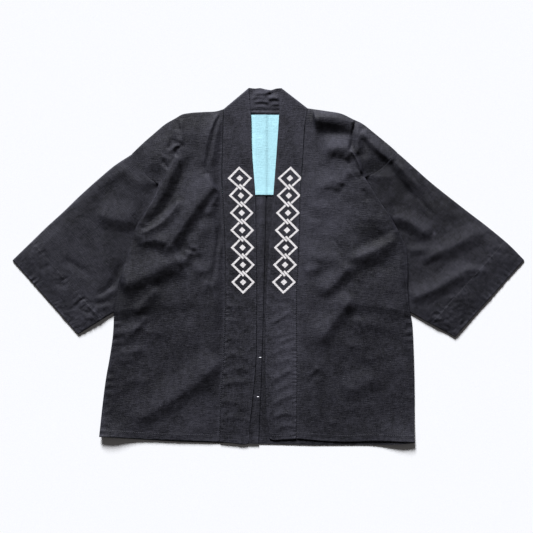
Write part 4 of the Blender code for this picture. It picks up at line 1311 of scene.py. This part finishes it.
# ------------------------------------------------------------------ stitches
def stitch_tree():
    """Geometry nodes that lay a short rounded stitch at even steps along every line of a mesh."""
    tree = bpy.data.node_groups.new("stitches", "GeometryNodeTree")
    sockets = [("Lines", "INPUT", "Geometry"), ("Pitch", "INPUT", "Float"), ("Length", "INPUT", "Float"),
               ("Thickness", "INPUT", "Float"), ("Thread", "INPUT", "Material"),
               ("Stitches", "OUTPUT", "Geometry")]
    for name, way, kind in sockets:
        tree.interface.new_socket(name, in_out=way, socket_type="NodeSocket" + kind)
    given, result = tree.nodes.new("NodeGroupInput"), tree.nodes.new("NodeGroupOutput")
    thick = given.outputs["Thickness"]
    curve = node(tree, "GeometryNodeMeshToCurve", {"Mesh": given.outputs["Lines"]})
    steps = node(tree, "GeometryNodeResampleCurve",
                 {"Curve": curve.outputs[0], "Length": given.outputs["Pitch"]}, mode="LENGTH")
    bead = node(tree, "GeometryNodeMeshUVSphere", {"Segments": 6, "Rings": 4, "Radius": 0.5})
    size = node(tree, "ShaderNodeCombineXYZ", {"X": given.outputs["Length"], "Y": thick, "Z": thick})
    ahead = node(tree, "GeometryNodeInputTangent")
    turn = node(tree, "FunctionNodeAlignRotationToVector", {"Vector": ahead.outputs[0]}, axis="X")
    laid = node(tree, "GeometryNodeInstanceOnPoints",
                {"Points": steps.outputs[0], "Instance": bead.outputs[0], "Rotation": turn.outputs[0],
                 "Scale": size.outputs[0]})
    real = node(tree, "GeometryNodeRealizeInstances", {"Geometry": laid.outputs[0]})
    made = node(tree, "GeometryNodeSetMaterial",
                {"Geometry": real.outputs[0], "Material": given.outputs["Thread"]})
    tree.links.new(made.outputs[0], result.inputs["Stitches"])
    return tree


def inset(line, distance):
    """The line moved to its left by a distance, seen from above."""
    runs = np.gradient(line[:, :2], axis=0)
    runs /= np.linalg.norm(runs, axis=1)[:, None]
    return line[:, :2] + distance * np.column_stack((-runs[:, 1], runs[:, 0]))


def lay_on(surfaces, line):
    """The points of a line, dropped onto the cloth from above, standing a little off it."""
    full = np.column_stack((line, np.zeros(len(line))))
    count = max(2, int(reach_along(full)[-1] / STITCH_STEP))
    placed = []
    for x, y, z in at(full, np.linspace(0.0, 1.0, count)) * MM:
        above = Vector((x, y, z + DROP))
        hits = [surface.ray_cast(above, Vector((0, 0, -1)))[0] for surface in surfaces]
        heights = [hit.z for hit in hits if hit is not None]
        if heights:
            placed.append((x, y, max(heights) + STITCH_STAND))
    return placed


def stitching(name, cloths, lines, sizes, thread):
    """Lines of stitches laid on the cloth, as one mesh."""
    surfaces = []
    for cloth in cloths:
        sheet = bmesh.new()
        sheet.from_mesh(cloth.data)
        surfaces.append(BVHTree.FromBMesh(sheet))
        sheet.free()
    points, edges = [], []
    for line in lines:
        placed = lay_on(surfaces, line)
        edges += [(len(points) + k, len(points) + k + 1) for k in range(len(placed) - 1)]
        points += placed
    mesh = bpy.data.meshes.new(name + "_lines")
    mesh.from_pydata(points, edges, [])
    made = bpy.data.objects.new(name, mesh)
    bpy.context.scene.collection.objects.link(made)
    tree = stitch_tree()
    sewing = made.modifiers.new("stitches", "NODES")
    sewing.node_group = tree
    values = {**sizes, "Thread": thread}
    for item in tree.interface.items_tree:
        if item.item_type == "SOCKET" and item.in_out == "INPUT" and item.name in values:
            sewing[item.identifier] = values[item.name]
    laid = finished_mesh(made)
    made.modifiers.clear()
    made.data = laid
    bpy.data.meshes.remove(mesh)
    laid.shade_smooth()
    return made


# ------------------------------------------------------------------ what a user can change
def number_setting(name, description, default, **settings):
    """A number that can be changed."""
    return FloatProperty(name=name, description=description, default=default, **settings)


def colour_setting(name, description, default):
    """A colour that can be changed."""
    return FloatVectorProperty(name=name, description=description, default=default, size=3, subtype="COLOR")


class HappiCloth(bpy.types.PropertyGroup):
    """Sizes and colours of the cloth."""
    wall: number_setting("Turned wall", "Millimetres of cloth where it is turned", TURNED_WALL, min=0.5)
    band_wall: number_setting("Band wall", "Millimetres of the doubled collar band", BAND_WALL, min=0.5)
    deep: colour_setting("Deep black", "Colour of the least faded cotton", (0.0042, 0.0042, 0.0074))
    pale: colour_setting("Faded black", "Colour of the most faded cotton", (0.0458, 0.0450, 0.0610))
    patch: colour_setting("Patch blue", "Colour of the patch inside the back neck", (0.460, 0.796, 0.891))
    ink: colour_setting("Print", "Colour of the printed lozenges", (0.79, 0.76, 0.765))


class HappiStitches(bpy.types.PropertyGroup):
    """Sizes of the stitches."""
    pitch: number_setting("Pitch", "From one stitch to the next", 0.0043, unit="LENGTH", precision=4)
    length: number_setting("Length", "Length of a stitch", 0.0025, unit="LENGTH", precision=4)
    thickness: number_setting("Thickness", "Thickness of thread", 0.0009, unit="LENGTH", precision=4)
    colour: colour_setting("Thread", "Colour of the thread", (0.075, 0.075, 0.09))


class HappiStage(bpy.types.PropertyGroup):
    """The floor, the light and the camera."""
    key_strength: number_setting("Key light", "Strength of the large soft light", 8.9)
    fill: number_setting("Fill light", "Strength of the light from all round", 0.07)
    floor: colour_setting("Floor", "Colour of the floor", (0.92, 0.925, 0.945))
    eye_height: number_setting("Eye height", "Height of the camera", 4.0, unit="LENGTH")
    view_width: number_setting("View width", "Width of floor that the camera sees", 1.146, unit="LENGTH")


# ------------------------------------------------------------------ operators
def finish_cloth(made, nodes, material):
    """Dress a piece of cloth, hide the parts of the model that it stands for and tie it to the frame."""
    made.data.materials.clear()
    made.data.materials.append(material)
    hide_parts(*nodes)
    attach(made, "root")


def shared_groups():
    """The shader node groups, built once."""
    names = {"cotton": ("slubby cotton", slubby_cotton), "lozenges": ("linked lozenges", linked_lozenges)}
    return {key: bpy.data.node_groups.get(name) or build() for key, (name, build) in names.items()}


def black(name, cloth, fade, **values):
    """One of the black cottons."""
    return cotton(name, shared_groups(), (*cloth.deep, 1.0), (*cloth.pale, 1.0), fade, **values)


class HAPPI_OT_body(bpy.types.Operator):
    """Build the two body panels, each one length from the front hem over the shoulder to the back hem"""
    bl_idname = "happi.body"
    bl_label = "Body panels"

    def execute(self, context):
        cloth = context.scene.happi_cloth
        right = body_panel("body_right", RIGHT, cloth.wall)
        left = body_panel("body_left", LEFT, cloth.wall)
        finish_cloth(right, ("front_right", "back_right"), black("body cotton right", cloth, RIGHT.fade))
        finish_cloth(left, ("front_left", "back_left"), black("body cotton left", cloth, LEFT.fade))
        return {"FINISHED"}


class HAPPI_OT_sleeves(bpy.types.Operator):
    """Build the two sleeves, each a flattened tube"""
    bl_idname = "happi.sleeves"
    bl_label = "Sleeves"

    def execute(self, context):
        cloth = context.scene.happi_cloth
        right = sleeve("sleeve_r", RIGHT, cloth.wall)
        left = sleeve("sleeve_l", LEFT, cloth.wall)
        finish_cloth(right, ("sleeve_right",), black("sleeve cotton right", cloth, RIGHT.sleeve_fade))
        finish_cloth(left, ("sleeve_left",), black("sleeve cotton left", cloth, LEFT.sleeve_fade))
        return {"FINISHED"}


class HAPPI_OT_collar(bpy.types.Operator):
    """Build the collar band, one doubled strip with a printed chain of lozenges down each front"""
    bl_idname = "happi.collar"
    bl_label = "Collar band"

    def execute(self, context):
        cloth = context.scene.happi_cloth
        band = collar_band("collar_band", cloth.band_wall)
        printed = black("band cotton", cloth, FADE_BAND, ink=(*cloth.ink, 1.0), mottle=0.42, slub=0.22)
        finish_cloth(band, ("collar_right", "collar_neck", "collar_left"), printed)
        return {"FINISHED"}


class HAPPI_OT_patch(bpy.types.Operator):
    """Build the light blue patch inside the back neck"""
    bl_idname = "happi.patch"
    bl_label = "Neck patch"

    def execute(self, context):
        cloth = context.scene.happi_cloth
        patch = neck_patch("neck_patch", cloth.wall)
        deep = tuple(PATCH_DEEP * channel for channel in cloth.patch)
        blue = cotton("light blue cotton", shared_groups(), (*deep, 1.0), (*cloth.patch, 1.0), FADE_PATCH,
                      slub=0.35, mottle=0.25, lint=0.0, relief=0.5)
        finish_cloth(patch, ("shoulder_patch",), blue)
        return {"FINISHED"}


class HAPPI_OT_stitches(bpy.types.Operator):
    """Sew the hems, the cuffs and the collar band"""
    bl_idname = "happi.stitches"
    bl_label = "Stitches"

    def execute(self, context):
        sizes = context.scene.happi_stitches
        thread = plain_finish("black thread", tuple(sizes.colour), 0.85)
        cloths = [bpy.data.objects[name] for name in CLOTHS]
        values = {"Pitch": sizes.pitch, "Length": sizes.length, "Thickness": sizes.thickness}
        lines = [inset(line_of(row.edge)[row.skipped:], row.distance) for row in STITCHED]
        seams = stitching("seam_stitches", cloths, lines, values, thread)
        knots = [np.array(((x - TACK_HALF, y), (x + TACK_HALF, y))) for x, y in TACKS]
        white = plain_finish("white thread", TACK_COLOUR, 0.8)
        values.update(Length=TACK_LONG, Thickness=TACK_THICK)
        tacks = stitching("allowance_tacks", cloths, knots, values, white)
        for made in (seams, tacks):
            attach(made, "root")
        return {"FINISHED"}


class HAPPI_OT_stage(bpy.types.Operator):
    """Set out the floor, the lights and the camera, which looks straight down"""
    bl_idname = "happi.stage"
    bl_label = "Stage"

    def execute(self, context):
        stage = context.scene.happi_stage
        lay_floor(stage)
        light_scene(context.scene, stage)
        place_camera(context.scene, stage)
        return {"FINISHED"}


def lay_floor(stage):
    """A wide pale floor just under the coat."""
    mesh = bpy.data.meshes.new("floor")
    corners = [(x * FLOOR_HALF, y * FLOOR_HALF, FLOOR_Z) for x, y in ((-1, -1), (1, -1), (1, 1), (-1, 1))]
    mesh.from_pydata(corners, [], [(0, 1, 2, 3)])
    floor = bpy.data.objects.new("floor", mesh)
    bpy.context.scene.collection.objects.link(floor)
    mesh.materials.append(plain_finish("pale floor", tuple(stage.floor), 0.9))


def light_scene(scene, stage):
    """A large soft light from above the collar, a little to the wearer's right, and light all round."""
    lamp = bpy.data.lights.new("key", "SUN")
    lamp.angle = math.radians(KEY_SPREAD)
    lamp.energy = stage.key_strength
    lamp.color = KEY_COLOUR
    key = bpy.data.objects.new("key", lamp)
    up, aside = math.radians(KEY_RISE), math.radians(KEY_SWING)
    towards = Vector((-math.cos(up) * math.sin(aside), math.cos(up) * math.cos(aside), math.sin(up)))
    key.location = KEY_AWAY * towards
    key.rotation_euler = towards.to_track_quat("Z", "Y").to_euler()
    scene.collection.objects.link(key)
    world = bpy.data.worlds.new("studio")
    world.use_nodes = True
    backdrop = world.node_tree.nodes["Background"]
    backdrop.inputs["Color"].default_value = FILL_COLOUR
    backdrop.inputs["Strength"].default_value = stage.fill
    scene.world = world
    scene.view_settings.view_transform = "Standard"


def place_camera(scene, stage):
    """A camera straight above the coat, with the tops of the sleeves a little above its middle."""
    data = bpy.data.cameras.new("camera")
    data.sensor_width = SENSOR
    data.lens = data.sensor_width * stage.eye_height / stage.view_width
    camera = bpy.data.objects.new("camera", data)
    camera.location = (EYE_X, 0.0, stage.eye_height)
    scene.collection.objects.link(camera)
    scene.camera = camera


class HAPPI_PT_panel(bpy.types.Panel):
    """The happi coat's pieces and their sizes"""
    bl_idname = "HAPPI_PT_panel"
    bl_label = "Happi coat"
    bl_space_type = "VIEW_3D"
    bl_region_type = "UI"
    bl_category = "Happi"

    def draw(self, context):
        layout = self.layout
        for key, kind in SETTINGS.items():
            box = layout.box()
            box.label(text=key.split("_")[1].title())
            for name in kind.__annotations__:
                box.prop(getattr(context.scene, key), name)
        for operator in OPERATORS:
            layout.operator(operator.bl_idname)


SETTINGS = {"happi_cloth": HappiCloth, "happi_stitches": HappiStitches, "happi_stage": HappiStage}
OPERATORS = (HAPPI_OT_body, HAPPI_OT_sleeves, HAPPI_OT_patch, HAPPI_OT_collar, HAPPI_OT_stitches,
             HAPPI_OT_stage)


def register():
    for settings in SETTINGS.values():
        bpy.utils.register_class(settings)
    for name, settings in SETTINGS.items():
        setattr(bpy.types.Scene, name, PointerProperty(type=settings))
    for operator in OPERATORS:
        bpy.utils.register_class(operator)
    bpy.utils.register_class(HAPPI_PT_panel)


def unregister():
    bpy.utils.unregister_class(HAPPI_PT_panel)
    for operator in reversed(OPERATORS):
        bpy.utils.unregister_class(operator)
    for name, settings in SETTINGS.items():
        delattr(bpy.types.Scene, name)
        bpy.utils.unregister_class(settings)


def main():
    register()
    bpy.ops.happi.body()
    bpy.ops.happi.sleeves()
    bpy.ops.happi.patch()
    bpy.ops.happi.collar()
    bpy.ops.happi.stitches()
    bpy.ops.happi.stage()


if __name__ == "__main__":
    main()
